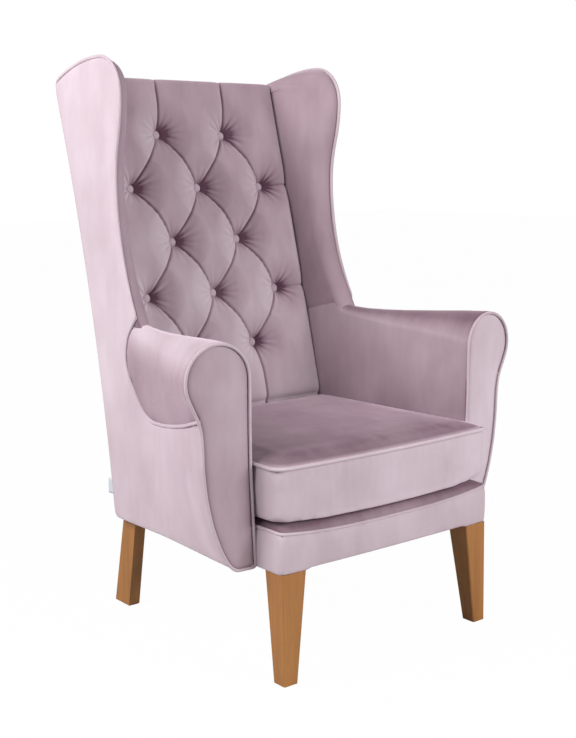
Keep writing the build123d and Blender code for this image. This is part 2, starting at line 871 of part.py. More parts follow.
def make_arm_rail():
    """Rail under the roll, from the front post to the back post."""
    u = arm_padding + seam
    outline = Polyline(
        (u, arm_rail_top - arm_rail_height),
        (u + arm_rail_thickness, arm_rail_top - arm_rail_height),
        (u + arm_rail_thickness, arm_rail_top),
        (u, arm_rail_top),
        close=True,
    )
    rail = arm_board(outline.edges(), arm_rail_run[0], arm_rail_run[1])
    behind = back_plane.offset(-frame_depth + 4 * seam)
    return split(rail, bisect_by=behind, keep=Keep.TOP)


def make_arm_sill():
    """Bottom rail of the arm frame, bolted to the seat box."""
    high = leg_height + sill_height
    front = arm_front_y + facing_thickness + post_thickness + 2 * arm_padding
    rear_line = layer_edge(frame_depth - seam, leg_height, high)
    outline = [
        rear_line,
        Line(rear_line @ 1, (front, high)),
        Line((front, high), (front, leg_height)),
        Line((front, leg_height), rear_line @ 0),
    ]
    sill = side_board(outline, cloth + seam, back_post_thickness)
    return sill - frame_bolt_holes


def roll_section(v, outline):
    """A cross-section of the inside arm at a distance behind the facing's front."""
    plane = Plane(origin=(0, v, 0), x_dir=(1, 0, 0), z_dir=(0, -1, 0))
    return arm_place * (plane * make_face(outline))


def front_roll_outline():
    """Section of the inside arm at the facing: padding, scroll and underside."""
    edge = facing_edge(0)
    seam_u, seam_z = seam_point()
    foot = deck_top + soft_gap
    under = (arm_padding, arm_rail_top)
    return [
        Line((0, foot), (0, roll_centre_z)),
        edge[2],
        edge[3],
        edge[4],
        Line(edge[4] @ 1, (seam_u, seam_z)),
        Line((seam_u, seam_z), under),
        Line(under, (arm_padding, foot)),
        Line((arm_padding, foot), (0, foot)),
    ]


def rear_roll_outline(width):
    """Section of the inside arm where the roll has died into the outside panel."""
    foot = deck_top + soft_gap
    radius = width / 2
    top = arm_crest_rear
    half = sin(radians(45)) * radius
    under = (arm_padding, roll_seam_rear_height)
    low_side = (top - radius + roll_seam_rear_height) / 2
    return [
        Line((0, foot), (0, top - radius)),
        ThreePointArc((0, top - radius), (radius - half, top - radius + half), (radius, top)),
        ThreePointArc((radius, top), (radius + half, top - radius + half), (width, top - radius)),
        Line((width, top - radius), (width, low_side)),
        Line((width, low_side), (width, roll_seam_rear_height)),
        Line((width, roll_seam_rear_height), under),
        Line(under, (arm_padding, foot)),
        Line((arm_padding, foot), (0, foot)),
    ]


notch_v = (notch_foot_y - arm_front_y) / cos(radians(splay))
roll_rear_width = (side_x(notch_foot_y) - inner_arm_x(notch_foot_y)) * cos(radians(splay))


def panel_outline(inset):
    """The flat of the outside panel in side view, behind the roll and over the wing."""
    notch = notch_edge(inset)
    corner = wing_corner(inset)
    rear = rear_edge(0, hem_z(rear_bottom_y), corner[1])
    front_foot = (notch_foot_y, hem_z(notch_foot_y))
    return [
        Line(front_foot, notch @ 0),
        notch,
        *wing_edge(inset)[:4],
        TangentArc(wing_edge(inset)[3] @ 1, rear @ 0, tangent=(1, 0)),
        rear,
        Line(rear @ 1, front_foot),
    ]


def make_arm_skirt():
    """The outside panel's front stretch, from the flat behind to the facing's outer edge."""
    edge = facing_edge(0)
    seam_u, seam_z = seam_point()
    neck = (seam_u - tan(radians(roll_lean)) * panel_inset, seam_z - panel_inset)
    waist, toe = edge[7] @ 0, edge[7] @ 1
    throat, hip = edge[6] @ 0.5, edge[7] @ 0.5

    def shifted(point, by):
        return (point.X - by, point.Y)

    neck = Vector(*neck)
    front_outline = [
        ThreePointArc(shifted(neck, 0), shifted(throat, 0), shifted(waist, 0)),
        ThreePointArc(shifted(waist, 0), shifted(hip, 0), shifted(toe, 0)),
        Line(shifted(toe, 0), shifted(toe, cloth)),
        ThreePointArc(shifted(toe, cloth), shifted(hip, cloth), shifted(waist, cloth)),
        ThreePointArc(shifted(waist, cloth), shifted(throat, cloth), shifted(neck, cloth)),
        Line(shifted(neck, cloth), shifted(neck, 0)),
    ]
    high = roll_seam_rear_height - panel_inset
    middle = facing_waist_height
    heights = [high, middle, hem_z(notch_foot_y)]
    outer = [(side_x(notch_foot_y), z) for z in heights]
    inner = [(side_x(notch_foot_y, cloth), z) for z in reversed(heights)]
    rear_outline = Polyline(*outer, *inner, close=True)
    rear_plane = Plane(origin=(0, notch_foot_y, 0), x_dir=(1, 0, 0), z_dir=(0, -1, 0))
    front_face = roll_section(facing_thickness + seam, front_outline)
    return loft([front_face, rear_plane * make_face(rear_outline)], ruled=True)


flat_panel = side_board(panel_outline(panel_inset), 0, cloth)
outside_panel = flat_panel + make_arm_skirt()
both_sides("outside_panel", outside_panel)

arm_post = make_arm_post()
arm_rail = make_arm_rail()
both_sides("arm_post", arm_post)
both_sides("arm_rail", arm_rail)
both_sides("arm_sill", make_arm_sill())


def make_inside_arm():
    """Padded inside of the arm with its rolled top, open below for the arm frame."""
    sections = [
        roll_section(facing_thickness + seam, front_roll_outline()),
        roll_section(notch_v, rear_roll_outline(roll_rear_width)),
        roll_section(seat_depth, rear_roll_outline(roll_rear_width)),
    ]
    pad = loft(sections, ruled=True)
    pad = split(pad, bisect_by=back_plane.offset(-pad_rear), keep=Keep.TOP)
    room_depth = 2 * side_half_width
    panel_room = side_board(panel_outline(-seam), -room_depth, room_depth + panel_inset)
    post_room = arm_board(
        Polyline(
            (arm_padding, leg_height), (arm_padding, roll_seam_height - 30),
            (arm_padding + 200, roll_seam_height - 30), (arm_padding + 200, leg_height), close=True
        ).edges(),
        0,
        facing_thickness + post_thickness + seam,
    )
    return pad - panel_room - arm_post - arm_rail - post_room


both_sides("inside_arm", make_inside_arm())


def facing_outline(inset):
    """Closed outline of the facing."""
    edge = facing_edge(inset)
    return edge + [Line(edge[-1] @ 1, edge[0] @ 0)]


def make_arm_facing():
    """Padded front panel of the arm, with a softened front edge."""
    return arm_board(facing_outline(panel_inset + 5 * seam), 0, facing_thickness)


def make_facing_welt():
    """Welt round the facing, from its inner foot over the scroll to its outer foot."""
    plane = Plane(origin=(0, facing_thickness - welt - seam, 0), x_dir=(1, 0, 0), z_dir=(0, -1, 0))
    lines = [plane * line for line in facing_edge(welt)]
    path = Wire(lines)
    return arm_place * tube(path, welt)


def make_side_welt():
    """Welt on the outside panel's edge: over the wing, round the roll and forward to the facing."""
    plane = side_plane.offset(-welt)
    over_wing = [plane * line for line in wing_edge(welt_inset)]
    round_roll = plane * notch_edge(welt_inset)
    seam_u, seam_z = seam_point()
    front_end = arm_place * Vertex(
        seam_u - welt - tan(radians(roll_lean)) * welt, facing_thickness + welt, seam_z - welt - 5 * seam
    )
    under_roll = Line(round_roll @ 0, front_end.center())
    wing_run = tube(Wire(over_wing), welt)
    return wing_run + tube(round_roll, welt) + tube(under_roll, welt) + [
        Location((*(round_roll @ 0),)) * Sphere(welt),
        Location((*(round_roll @ 1),)) * Sphere(welt),
    ]


both_sides("arm_facing", make_arm_facing())
both_sides("facing_welt", make_facing_welt())
both_sides("side_welt", make_side_welt())

# Blank tag sewn into the left rear seam
tag_top = tag_bottom + tag_height
tag_y = rear_point(tag_top)[0] + seam
tag_x = -side_x(tag_y, cloth)
parts["seam_tag"] = block(
    (tag_x, tag_x + tag_thickness), (tag_y, tag_y + tag_length), (tag_bottom, tag_top)
)

os.makedirs("parts", exist_ok=True)
for name, shape in parts.items():
    export_step(shape, f"parts/{name}.step")
print(len(parts), "pieces")
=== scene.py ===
# %% [markdown]
# A button-backed wing chair in lilac velvet, with rolled arms, a loose seat cushion and wooden legs.
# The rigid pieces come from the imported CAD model. Everything soft is made again here, in the same
# place and the same frame, because cloth over padding needs finer shapes than the solids carry.

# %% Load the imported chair
from math import atan2, cos, pi, radians, sin, tan

import bmesh
import bpy
import numpy as np
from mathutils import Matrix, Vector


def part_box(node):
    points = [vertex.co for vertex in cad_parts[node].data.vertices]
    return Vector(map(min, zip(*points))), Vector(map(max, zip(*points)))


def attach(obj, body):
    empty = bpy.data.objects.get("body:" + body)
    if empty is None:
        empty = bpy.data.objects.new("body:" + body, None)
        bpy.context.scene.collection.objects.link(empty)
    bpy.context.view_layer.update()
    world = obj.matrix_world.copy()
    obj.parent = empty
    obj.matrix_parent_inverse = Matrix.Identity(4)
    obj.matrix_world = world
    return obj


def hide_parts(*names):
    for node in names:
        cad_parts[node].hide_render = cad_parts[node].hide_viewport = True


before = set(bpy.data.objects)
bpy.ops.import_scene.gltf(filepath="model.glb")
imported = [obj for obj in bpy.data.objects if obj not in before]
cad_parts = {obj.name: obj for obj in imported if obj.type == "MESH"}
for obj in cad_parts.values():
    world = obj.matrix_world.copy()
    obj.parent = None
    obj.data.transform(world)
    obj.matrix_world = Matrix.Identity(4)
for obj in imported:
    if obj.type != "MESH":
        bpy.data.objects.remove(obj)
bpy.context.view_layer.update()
print("solids loaded:", len(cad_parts))

# %% [markdown]
# The sizes below repeat the driving sizes of the solids, in millimetres. X runs across the chair,
# Y from its front to its back and Z up from the floor. All soft shapes are worked out from them.

# %% Sizes
MM = 0.001
FRONT_Y, REAR_Y = -383.0, 383.0
LEG_HEIGHT, HEM_DROP = 210.0, 10.0
ARM_HEIGHT, BACK_HEIGHT, WING_HEIGHT = 632.0, 1115.0, 1150.0
REAR_CORNER_Z = 1104.0
REAR_FOOT_Y, REAR_HOLLOW = 170.0, 24.0
ARM_FRONT_Y, ARM_INNER_X, SPLAY = -302.0, 281.0, radians(4.2)
SIDE_X, SIDE_TOE = 293.0, radians(1.2)
BACK_FOOT_Y, BACK_FOOT_Z, RECLINE = 118.0, 415.0, radians(14.0)
ROLL_RADIUS, ROLL_LEAN = 69.5, radians(20.0)
WELT = 3.5
DECK_TOP, CUSHION_SEAM_Z = 298.7, 404.1
BUTTON_SPACING, BUTTON_PITCH, TOP_BUTTON_Z = 174.0, 115.0, 1004.0
BUTTON_ROWS, BUTTON_RADIUS, TUFT_DEPTH = 5, 10.0, 31.0


def inner_x(y):
    """X of the right arm's and wing's inner face."""
    return ARM_INNER_X - tan(SPLAY) * (y - ARM_FRONT_Y)


def side_x(y):
    """X of the right outer side, which draws in towards the back."""
    return SIDE_X - tan(SIDE_TOE) * y


def back_y(z, depth=0.0):
    """Y of the reclined inside back's face, or of a layer behind it."""
    return BACK_FOOT_Y + tan(RECLINE) * (z - BACK_FOOT_Z) + depth / cos(RECLINE)


def rear_y(z):
    """Y of the hollow rear line."""
    share = (z - LEG_HEIGHT) / (REAR_CORNER_Z - LEG_HEIGHT)
    return REAR_FOOT_Y + (REAR_Y - REAR_FOOT_Y) * share - 4 * REAR_HOLLOW * share * (1 - share)


def hem_z(y):
    """Height of the outside panel's hem, which drops a little towards the back."""
    return LEG_HEIGHT - HEM_DROP * (y - ARM_FRONT_Y) / (REAR_FOOT_Y - ARM_FRONT_Y)


def arm_point(outward, behind, z):
    """A point of the right arm from its own measures: outward, behind the facing, and up."""
    x = ARM_INNER_X + outward * cos(SPLAY) - behind * sin(SPLAY)
    y = ARM_FRONT_Y + outward * sin(SPLAY) + behind * cos(SPLAY)
    return np.stack(np.broadcast_arrays(x, y, z), axis=-1)


print("chair:", WING_HEIGHT, "mm high,", REAR_Y - FRONT_Y, "mm deep")

# %% [markdown]
# Upholstery follows lines: seams, welts and outlines. A few helpers draw arcs, space points evenly,
# soften corners and measure how far a point is from a line. They work on plain arrays, which is
# quicker and easier to follow than curve objects.

# %% Line helpers
def arc_from(start, heading, end, count=24):
    """A circular arc that leaves start in a heading and stops at end."""
    start, end, heading = (np.array(p, float) for p in (start, end, heading))
    heading /= np.linalg.norm(heading)
    normal = np.array([-heading[1], heading[0]])
    chord = end - start
    centre = start + normal * (chord @ chord) / (2 * chord @ normal)
    turn = np.linspace(0, 2 * atan2(chord @ normal, chord @ heading), count)
    arm = start - centre
    x = arm[0] * np.cos(turn) - arm[1] * np.sin(turn)
    y = arm[0] * np.sin(turn) + arm[1] * np.cos(turn)
    return centre + np.stack([x, y], axis=1)


def along(points):
    """Distance run along a line at each of its points."""
    steps = np.linalg.norm(np.diff(points, axis=0), axis=1)
    return np.concatenate([[0.0], np.cumsum(steps)])


def at_runs(line, places):
    """Points of a line at some distances along it."""
    run = along(line)
    return np.stack([np.interp(places, run, column) for column in line.T], axis=1)


def resample(points, count):
    """The same line with evenly spaced points."""
    points = np.asarray(points, float)
    return at_runs(points, np.linspace(0, along(points)[-1], count))


def soften(points, passes):
    """The same line with rounder corners and fixed ends."""
    points = np.array(points, float)
    for _ in range(passes):
        points[1:-1] = 0.25 * points[:-2] + 0.5 * points[1:-1] + 0.25 * points[2:]
    return points


def soften_ring(ring, passes):
    """The same closed ring with rounder corners."""
    for _ in range(passes):
        ring = 0.25 * np.roll(ring, 1, axis=0) + 0.5 * ring + 0.25 * np.roll(ring, -1, axis=0)
    return ring


def flowing(controls, count, passes=12):
    """A smooth line near a few control points."""
    return resample(soften(resample(controls, 4 * count), passes * 4), count)


def left_of(line):
    """Unit directions square to a line, towards its left."""
    heading = np.gradient(line, axis=0)
    heading /= np.linalg.norm(heading, axis=1)[:, None]
    return np.stack([-heading[:, 1], heading[:, 0]], axis=1)


def distance_to(points, line):
    """How far each point lies from a line, in the same two coordinates."""
    flat = points.reshape(-1, 2)
    gaps = [np.min(np.linalg.norm(line[None, :, :] - part[:, None, :], axis=2), axis=1)
            for part in np.array_split(flat, 1 + len(flat) // 2000)]
    return np.concatenate(gaps).reshape(points.shape[:-1])


def eased(count):
    """Shares from 0 to 1, closer together at both ends."""
    return 0.5 - 0.5 * np.cos(np.linspace(0, pi, count))


quarter = arc_from((0, 0), (1, 0), (1, 1))
print("a quarter circle of radius 1 is", round(along(quarter)[-1], 2), "long")

# %% [markdown]
# Velvet is a short pile. It looks pale where it is seen along the pile and deeper where one looks
# into it, so most of its character is sheen, plus soft brushed patches where the pile lies another
# way. A picture of velvet would only be right from one side. One shader does better: a ramp of three
# tones follows an attribute that each piece sets. It holds painted light and shade: paler where the
# light falls, deeper in seams, pleats and other shaded places. Noise adds brushed patches, streaks and
# the grain of the pile. A sheen lobe gives the pale edges.

# %% Velvet
def add_node(tree, kind, **values):
    """A shader node with some of its settings and inputs filled in."""
    node = tree.nodes.new(kind)
    for name, value in values.items():
        if name in node.inputs:
            node.inputs[name].default_value = value
        else:
            setattr(node, name, value)
    return node


def start_material(name):
    """An empty node material with its shader joined to the output."""
    material = bpy.data.materials.new(name)
    material.use_nodes = True
    tree = material.node_tree
    tree.nodes.clear()
    shader = tree.nodes.new("ShaderNodeBsdfPrincipled")
    output = tree.nodes.new("ShaderNodeOutputMaterial")
    tree.links.new(shader.outputs["BSDF"], output.inputs["Surface"])
    return material, tree, shader


def fill_inputs(node, values):
    """Set several inputs of a node by their names."""
    for name, value in values.items():
        node.inputs[name].default_value = value


def noise(tree, scale, detail=2.0, stretch=(1, 1, 1), roughness=0.5):
    """Noise on the piece's own coordinates, stretched along some axes."""
    place = add_node(tree, "ShaderNodeTexCoord")
    mapping = add_node(tree, "ShaderNodeMapping", Scale=stretch)
    texture = add_node(tree, "ShaderNodeTexNoise", Scale=scale, Detail=detail, Roughness=roughness)
    tree.links.new(place.outputs["Object"], mapping.inputs["Vector"])
    tree.links.new(mapping.outputs["Vector"], texture.inputs["Vector"])
    return texture.outputs["Fac"]


def maths(tree, operation, first, second):
    """One sum; each term is a socket or a number."""
    node = add_node(tree, "ShaderNodeMath", operation=operation)
    for socket, term in zip(node.inputs, (first, second)):
        if isinstance(term, (int, float)):
            socket.default_value = term
        else:
            tree.links.new(term, socket)
    return node.outputs[0]


def colour_by(tree, shader, factor, colours):
    """Colour a shader by a factor, with the colours spread evenly over 0 to 1."""
    ramp = tree.nodes.new("ShaderNodeValToRGB")
    stops = ramp.color_ramp.elements
    while len(stops) < len(colours):
        stops.new(0.5)
    for order, colour in enumerate(colours):
        stops[order].position = order / (len(colours) - 1)
        stops[order].color = (*colour, 1)
    tree.links.new(factor, ramp.inputs["Fac"])
    tree.links.new(ramp.outputs["Color"], shader.inputs["Base Color"])


def add_relief(tree, shader, height, strength, distance):
    """Fine relief on a shader from a height."""
    bump = add_node(tree, "ShaderNodeBump", Strength=strength, Distance=distance)
    tree.links.new(height, bump.inputs["Height"])
    tree.links.new(bump.outputs["Normal"], shader.inputs["Normal"])


def make_velvet(name, deep, middle, pale):
    """Short-pile velvet: painted light and shade from each piece, brushed patches, pile grain, sheen."""
    material, tree, shader = start_material(name)
    patches = noise(tree, 9.0, 3.0, (1, 1, 0.7))
    streaks = noise(tree, 38.0, 2.0, (1.6, 1.6, 0.35))
    grain = noise(tree, 1500.0, 1.0)
    # Each piece's painted light and shade is the base of the tone.
    tone = add_node(tree, "ShaderNodeAttribute", attribute_name="nap").outputs["Fac"]
    for pattern, strength in ((patches, 0.42), (streaks, 0.10), (grain, 0.22)):
        swing = maths(tree, "SUBTRACT", pattern, 0.5)
        tone = maths(tree, "ADD", tone, maths(tree, "MULTIPLY", swing, strength))
    colour_by(tree, shader, tone, (deep, middle, pale))
    add_relief(tree, shader, noise(tree, 1100.0, 2.0), 0.22, 0.0006)
    fill_inputs(shader, {"Roughness": 0.82, "Specular IOR Level": 0.18})
    fill_inputs(shader, {"Sheen Weight": 0.42, "Sheen Roughness": 0.45, "Sheen Tint": (1.0, 0.80, 0.90, 1)})
    return material


velvet = make_velvet("lilac_velvet", (0.088, 0.038, 0.059), (0.330, 0.241, 0.275), (0.56, 0.475, 0.52))
# The welts' velvet is a slightly paler copy, a painted highlight on the raised cords.
welt_velvet_painted_highlight = make_velvet("velvet_welt", (0.096, 0.045, 0.067), (0.340, 0.252, 0.286), (0.57, 0.485, 0.53))
print("velvet made:", velvet.name, welt_velvet_painted_highlight.name)

# %% [markdown]
# Beech stained to honey has fine straight grain along the leg and short dark flecks. The frame
# inside is the same kind of wood left bare, so one function makes both from two colours.

# %% Wood, metal and the hidden cloths
def make_wood(name, dark, light, roughness, coat):
    """Straight-grained wood that runs up the piece, with short flecks."""
    material, tree, shader = start_material(name)
    bands = noise(tree, 46.0, 4.0, (1, 1, 0.045), 0.6)
    flecks = noise(tree, 420.0, 2.0, (1, 1, 0.06))
    grain = maths(tree, "ADD", maths(tree, "MULTIPLY", bands, 1.1), maths(tree, "MULTIPLY", flecks, 0.5))
    colour_by(tree, shader, maths(tree, "SUBTRACT", grain, 0.3), (dark, light))
    add_relief(tree, shader, flecks, 0.12, 0.0004)
    fill_inputs(shader, {"Roughness": roughness, "Coat Weight": coat, "Coat Roughness": 0.3})
    return material


def make_plain(name, low, high, scale, roughness, metallic=0.0, stretch=(1, 1, 1)):
    """A quiet finish for hidden pieces: two close colours and a little relief."""
    material, tree, shader = start_material(name)
    speckle = noise(tree, scale, 3.0, stretch)
    colour_by(tree, shader, speckle, (low, high))
    add_relief(tree, shader, speckle, 0.25, 0.0005)
    fill_inputs(shader, {"Roughness": roughness, "Metallic": metallic})
    return material


leg_wood = make_wood("honey_beech", (0.20, 0.072, 0.013), (0.385, 0.163, 0.036), 0.45, 0.04)
bare_wood = make_wood("bare_beech", (0.50, 0.34, 0.20), (0.74, 0.58, 0.40), 0.7, 0.0)
steel = make_plain("zinc_steel", (0.50, 0.50, 0.48), (0.68, 0.68, 0.66), 300.0, 0.34, 1.0)
felt = make_plain("grey_felt", (0.22, 0.21, 0.21), (0.42, 0.41, 0.40), 700.0, 0.95)
foam = make_plain("cream_foam", (0.78, 0.72, 0.55), (0.92, 0.88, 0.74), 900.0, 0.9)
lining = make_plain("black_lining", (0.012, 0.012, 0.013), (0.045, 0.044, 0.046), 1300.0, 0.9)
jute = make_plain("jute_webbing", (0.42, 0.31, 0.18), (0.70, 0.57, 0.39), 520.0, 0.9, stretch=(1, 1, 0.2))
twine = make_plain("waxed_twine", (0.62, 0.57, 0.48), (0.86, 0.82, 0.74), 900.0, 0.6)
tape = make_plain("white_tape", (0.40, 0.43, 0.48), (0.52, 0.55, 0.60), 1600.0, 0.85)
NODE_FINISHES = {
    "front_leg": leg_wood, "rear_leg": leg_wood, "leg_bolts": steel, "frame_bolts": steel,
    "seat_springs": steel, "spring_clips": steel, "spring_felt": felt, "cushion_core": foam,
    "back_webbing": jute, "button_twines": twine,
}
for node_name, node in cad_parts.items():
    stem = node_name.replace("_left", "").replace("_right", "")
    finish = NODE_FINISHES.get(stem, bare_wood)
    node.data.materials.clear()
    node.data.materials.append(finish)
print("solids finished:", len(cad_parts))

# %% [markdown]
# Most covers are sheets of cloth that follow a regular grid of points. One function turns a grid
# into a mesh whose faces look outwards, and another settles what the piece stands for and how it
# moves. A cover gets its thickness from Solidify, inwards, so that its outside keeps its place.

# %% Cloth pieces from grids
def add_object(name, data):
    """A new object in the scene."""
    piece = bpy.data.objects.new(name, data)
    bpy.context.scene.collection.objects.link(piece)
    return piece


def grid_mesh(name, grids, outward, nap=0.5, material=velvet):
    """A smooth mesh from one or more grids of points in millimetres, welded where they meet."""
    mesh = bpy.data.meshes.new(name)
    shape = bmesh.new()
    # Each point keeps a tone of painted light and shade for the velvet's ramp.
    layer = shape.verts.layers.float.new("nap")
    for grid in grids:
        painted_light_tones = nap(grid) if callable(nap) else np.full(grid.shape[:2], nap)
        rows = [[shape.verts.new(point * MM) for point in row] for row in grid]
        for row, tones in zip(rows, painted_light_tones):
            for vert, tone in zip(row, tones):
                vert[layer] = tone
        for low, high in zip(rows[:-1], rows[1:]):
            for corner in range(len(low) - 1):
                shape.faces.new((low[corner], low[corner + 1], high[corner + 1], high[corner]))
    bmesh.ops.remove_doubles(shape, verts=shape.verts, dist=0.00005)
    bmesh.ops.dissolve_degenerate(shape, dist=0.00002, edges=shape.edges)
    bmesh.ops.recalc_face_normals(shape, faces=shape.faces)
    facing = sum((np.array(face.normal) * face.calc_area() for face in shape.faces), np.zeros(3))
    if facing @ np.array(outward) < 0:
        bmesh.ops.reverse_faces(shape, faces=shape.faces)
    shape.to_mesh(mesh)
    shape.free()
    mesh.shade_smooth()
    mesh.materials.append(material)
    return add_object(name, mesh)


def thicken(piece, thickness):
    """Give a sheet its thickness on the inside."""
    solid = piece.modifiers.new("thickness", "SOLIDIFY")
    solid.thickness = thickness * MM
    solid.offset = -1.0
    return piece


def settle(piece, node, body="chair"):
    """Say which solid a piece stands for and what it moves with."""
    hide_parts(node)
    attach(piece, body)


def mirrored(points):
    """The left-hand twin of right-hand points."""
    return np.asarray(points) * np.array([-1.0, 1.0, 1.0])


SIDES = (("right", np.asarray), ("left", mirrored))


def both_sides(stem, grids, outward, thickness, nap):
    """A right-hand cover and its left-hand twin."""
    for side, turn in SIDES:
        piece = grid_mesh(f"{stem}_cover_{side}", [turn(grid) for grid in grids], turn(outward), nap)
        thicken(piece, thickness)
        settle(piece, f"{stem}_{side}")
    print(stem, "covers made,", len(piece.data.vertices), "points each")


# %% [markdown]
# A welt is a cord in a strip of cloth, sewn into a seam. It follows a path and keeps one section,
# so it is a small Geometry Nodes tree: the path's edges become a curve, a circle runs along it,
# and the result is realised and given its cloth. The same tree serves every welt on the chair.

# %% Welt tree
def start_tree(name, inputs, output):
    """A Geometry Nodes tree with its sockets, its first node and its last node."""
    tree = bpy.data.node_groups.new(name, "GeometryNodeTree")
    for label, kind in inputs.items():
        tree.interface.new_socket(label, in_out="INPUT", socket_type=f"NodeSocket{kind}")
    tree.interface.new_socket(output, in_out="OUTPUT", socket_type="NodeSocketGeometry")
    return tree, tree.nodes.new("NodeGroupInput"), tree.nodes.new("NodeGroupOutput")


def join_nodes(tree, *links):
    """Join nodes; each link is a node, its output, the next node and its input."""
    for source, output, target, entry in links:
        tree.links.new(source.outputs[output], target.inputs[entry])


def make_welt_tree():
    """Sweeps a round section along the edges of a mesh."""
    inputs = {"Path": "Geometry", "Radius": "Float", "Sides": "Int", "Nap": "Float", "Cloth": "Material"}
    tree, start, end = start_tree("welt_along_path", inputs, "Welt")
    line = tree.nodes.new("GeometryNodeMeshToCurve")
    section = tree.nodes.new("GeometryNodeCurvePrimitiveCircle")
    sweep = add_node(tree, "GeometryNodeCurveToMesh", **{"Fill Caps": True})
    tone = add_node(tree, "GeometryNodeStoreNamedAttribute", Name="nap")
    smooth = tree.nodes.new("GeometryNodeSetShadeSmooth")
    real = tree.nodes.new("GeometryNodeRealizeInstances")
    cover = tree.nodes.new("GeometryNodeSetMaterial")
    join_nodes(
        tree,
        (start, "Path", line, "Mesh"),
        (start, "Sides", section, "Resolution"),
        (start, "Radius", section, "Radius"),
        (line, "Curve", sweep, "Curve"),
        (section, "Curve", sweep, "Profile Curve"),
        (sweep, "Mesh", tone, "Geometry"),
        (start, "Nap", tone, "Value"),
        (tone, "Geometry", smooth, "Geometry"),
        (smooth, "Geometry", real, "Geometry"),
        (real, "Geometry", cover, "Geometry"),
        (start, "Cloth", cover, "Material"),
        (cover, "Geometry", end, "Welt"),
    )
    return tree


def baked(piece):
    """Turn what a piece's modifiers make into its own plain mesh."""
    bpy.context.view_layer.update()
    ready = piece.evaluated_get(bpy.context.evaluated_depsgraph_get())
    mesh = bpy.data.meshes.new_from_object(ready)
    piece.modifiers.clear()
    piece.data = mesh


def run_tree(piece, tree, values):
    """Run a node tree on a piece, with some inputs set by name, and keep what it makes."""
    modifier = piece.modifiers.new(tree.name, "NODES")
    modifier.node_group = tree
    for item in tree.interface.items_tree:
        if item.in_out == "INPUT" and item.name in values:
            modifier[item.identifier] = values[item.name]
    baked(piece)


welt_tree = make_welt_tree()


# A welt's tone is set pale: a painted highlight on the raised cord.
def make_welt(name, path, node, body="chair", closed=False, nap=0.62, radius=WELT):
    """One welt along a path in millimetres."""
    mesh = bpy.data.meshes.new(name)
    edges = [(index, index + 1) for index in range(len(path) - 1)]
    if closed:
        edges.append((len(path) - 1, 0))
    mesh.from_pydata((np.asarray(path) * MM).tolist(), edges, [])
    piece = add_object(name, mesh)
    run_tree(piece, welt_tree, {"Radius": radius * MM, "Sides": 14, "Nap": nap, "Cloth": welt_velvet_painted_highlight})
    settle(piece, node, body=body)
    print(name, "welt:", round(along(np.asarray(path))[-1]), "mm long")


print("welt tree:", len(welt_tree.nodes), "nodes")

# %% [markdown]
# The wing's outline is the chair's signature: it leaves the arm, draws in at a waist, swells to an
# ear and runs over the top to the rear corner. Below it the seam goes round the end of the arm
# roll and forward under it. Panel, welt and wing padding all share these two lines, so arcs and a
# few control points are written once and every piece follows them with its own inset.

# %% Wing and roll seam lines
WING_FOOT, WING_WAIST, WING_EAR, WING_APEX_Y = (60.0, 635.0), (134.0, 900.0), (109.0, 1072.0), 185.0


def wing_line(inset, count=150):
    """The wing's edge in side view (Y, Z), from the arm to the rear corner."""
    foot = (WING_FOOT[0] + 1.35 * inset, WING_FOOT[1])
    waist, ear = (WING_WAIST[0] + inset, WING_WAIST[1]), (WING_EAR[0] + inset, WING_EAR[1])
    bend = ((waist[0] + ear[0]) / 2, (waist[1] + ear[1]) / 2)
    apex, corner = (WING_APEX_Y, WING_HEIGHT - inset), (REAR_Y, REAR_CORNER_Z - 1.1 * inset)
    runs = [
        arc_from(waist, (0, -1), foot)[::-1],
        arc_from(waist, (0, 1), bend)[1:],
        arc_from(ear, (0, -1), bend)[::-1][1:],
        arc_from(ear, (0, 1), apex)[1:],
        arc_from(apex, (1, 0), corner)[1:],
    ]
    return resample(np.concatenate(runs), count)


def eased_wing_line(foot_inset, inset, span, count):
    """The wing's edge with another inset at its foot, which eases away over a span of points."""
    way = np.interp(np.arange(count), span, [0, 1])[:, None]
    return wing_line(foot_inset, count) * (1 - way) + wing_line(inset, count) * way


ROLL_SEAM_LOW = (8.0, 430.0)
NOTCH = flowing([ROLL_SEAM_LOW, (36, 441), (57, 461), (76, 486), (94, 508), (105, 531),
                 (107, 557), (98, 592), (81, 616), WING_FOOT], 40, 3)
UNDER_ROLL = flowing([ROLL_SEAM_LOW, (-35, 433), (-110, 447), (-200, 468), (-300, 497)], 40, 3)


def roll_seam_z(y):
    """Height of the seam under the roll, in front of its lowest point."""
    return np.interp(-np.asarray(y, float), -UNDER_ROLL[:, 0], UNDER_ROLL[:, 1])


print("wing edge:", round(along(wing_line(0))[-1]), "mm, notch:", round(along(NOTCH)[-1]), "mm")

# %% [markdown]
# The facing is the scroll-shaped panel on the front of each arm. Its outline is a circle over a
# waisted stem, and everything along the arm starts from it, so it is drawn first.

# %% Facing outline
FACING_STEM = [
    (127.0, 522.0), (118.5, 506.0), (112.0, 491.0), (108.0, 473.0), (106.0, 445.0), (105.0, 405.0),
    (99.0, 352.0), (88.0, 302.0), (71.0, 255.0), (53.0, 222.0), (38.0, LEG_HEIGHT),
]
FACING_INNER = [(-11.0, LEG_HEIGHT), (-6.0, 300.0), (-1.0, 400.0), (0.0, 470.0)]
WELT_BEHIND = 1.5


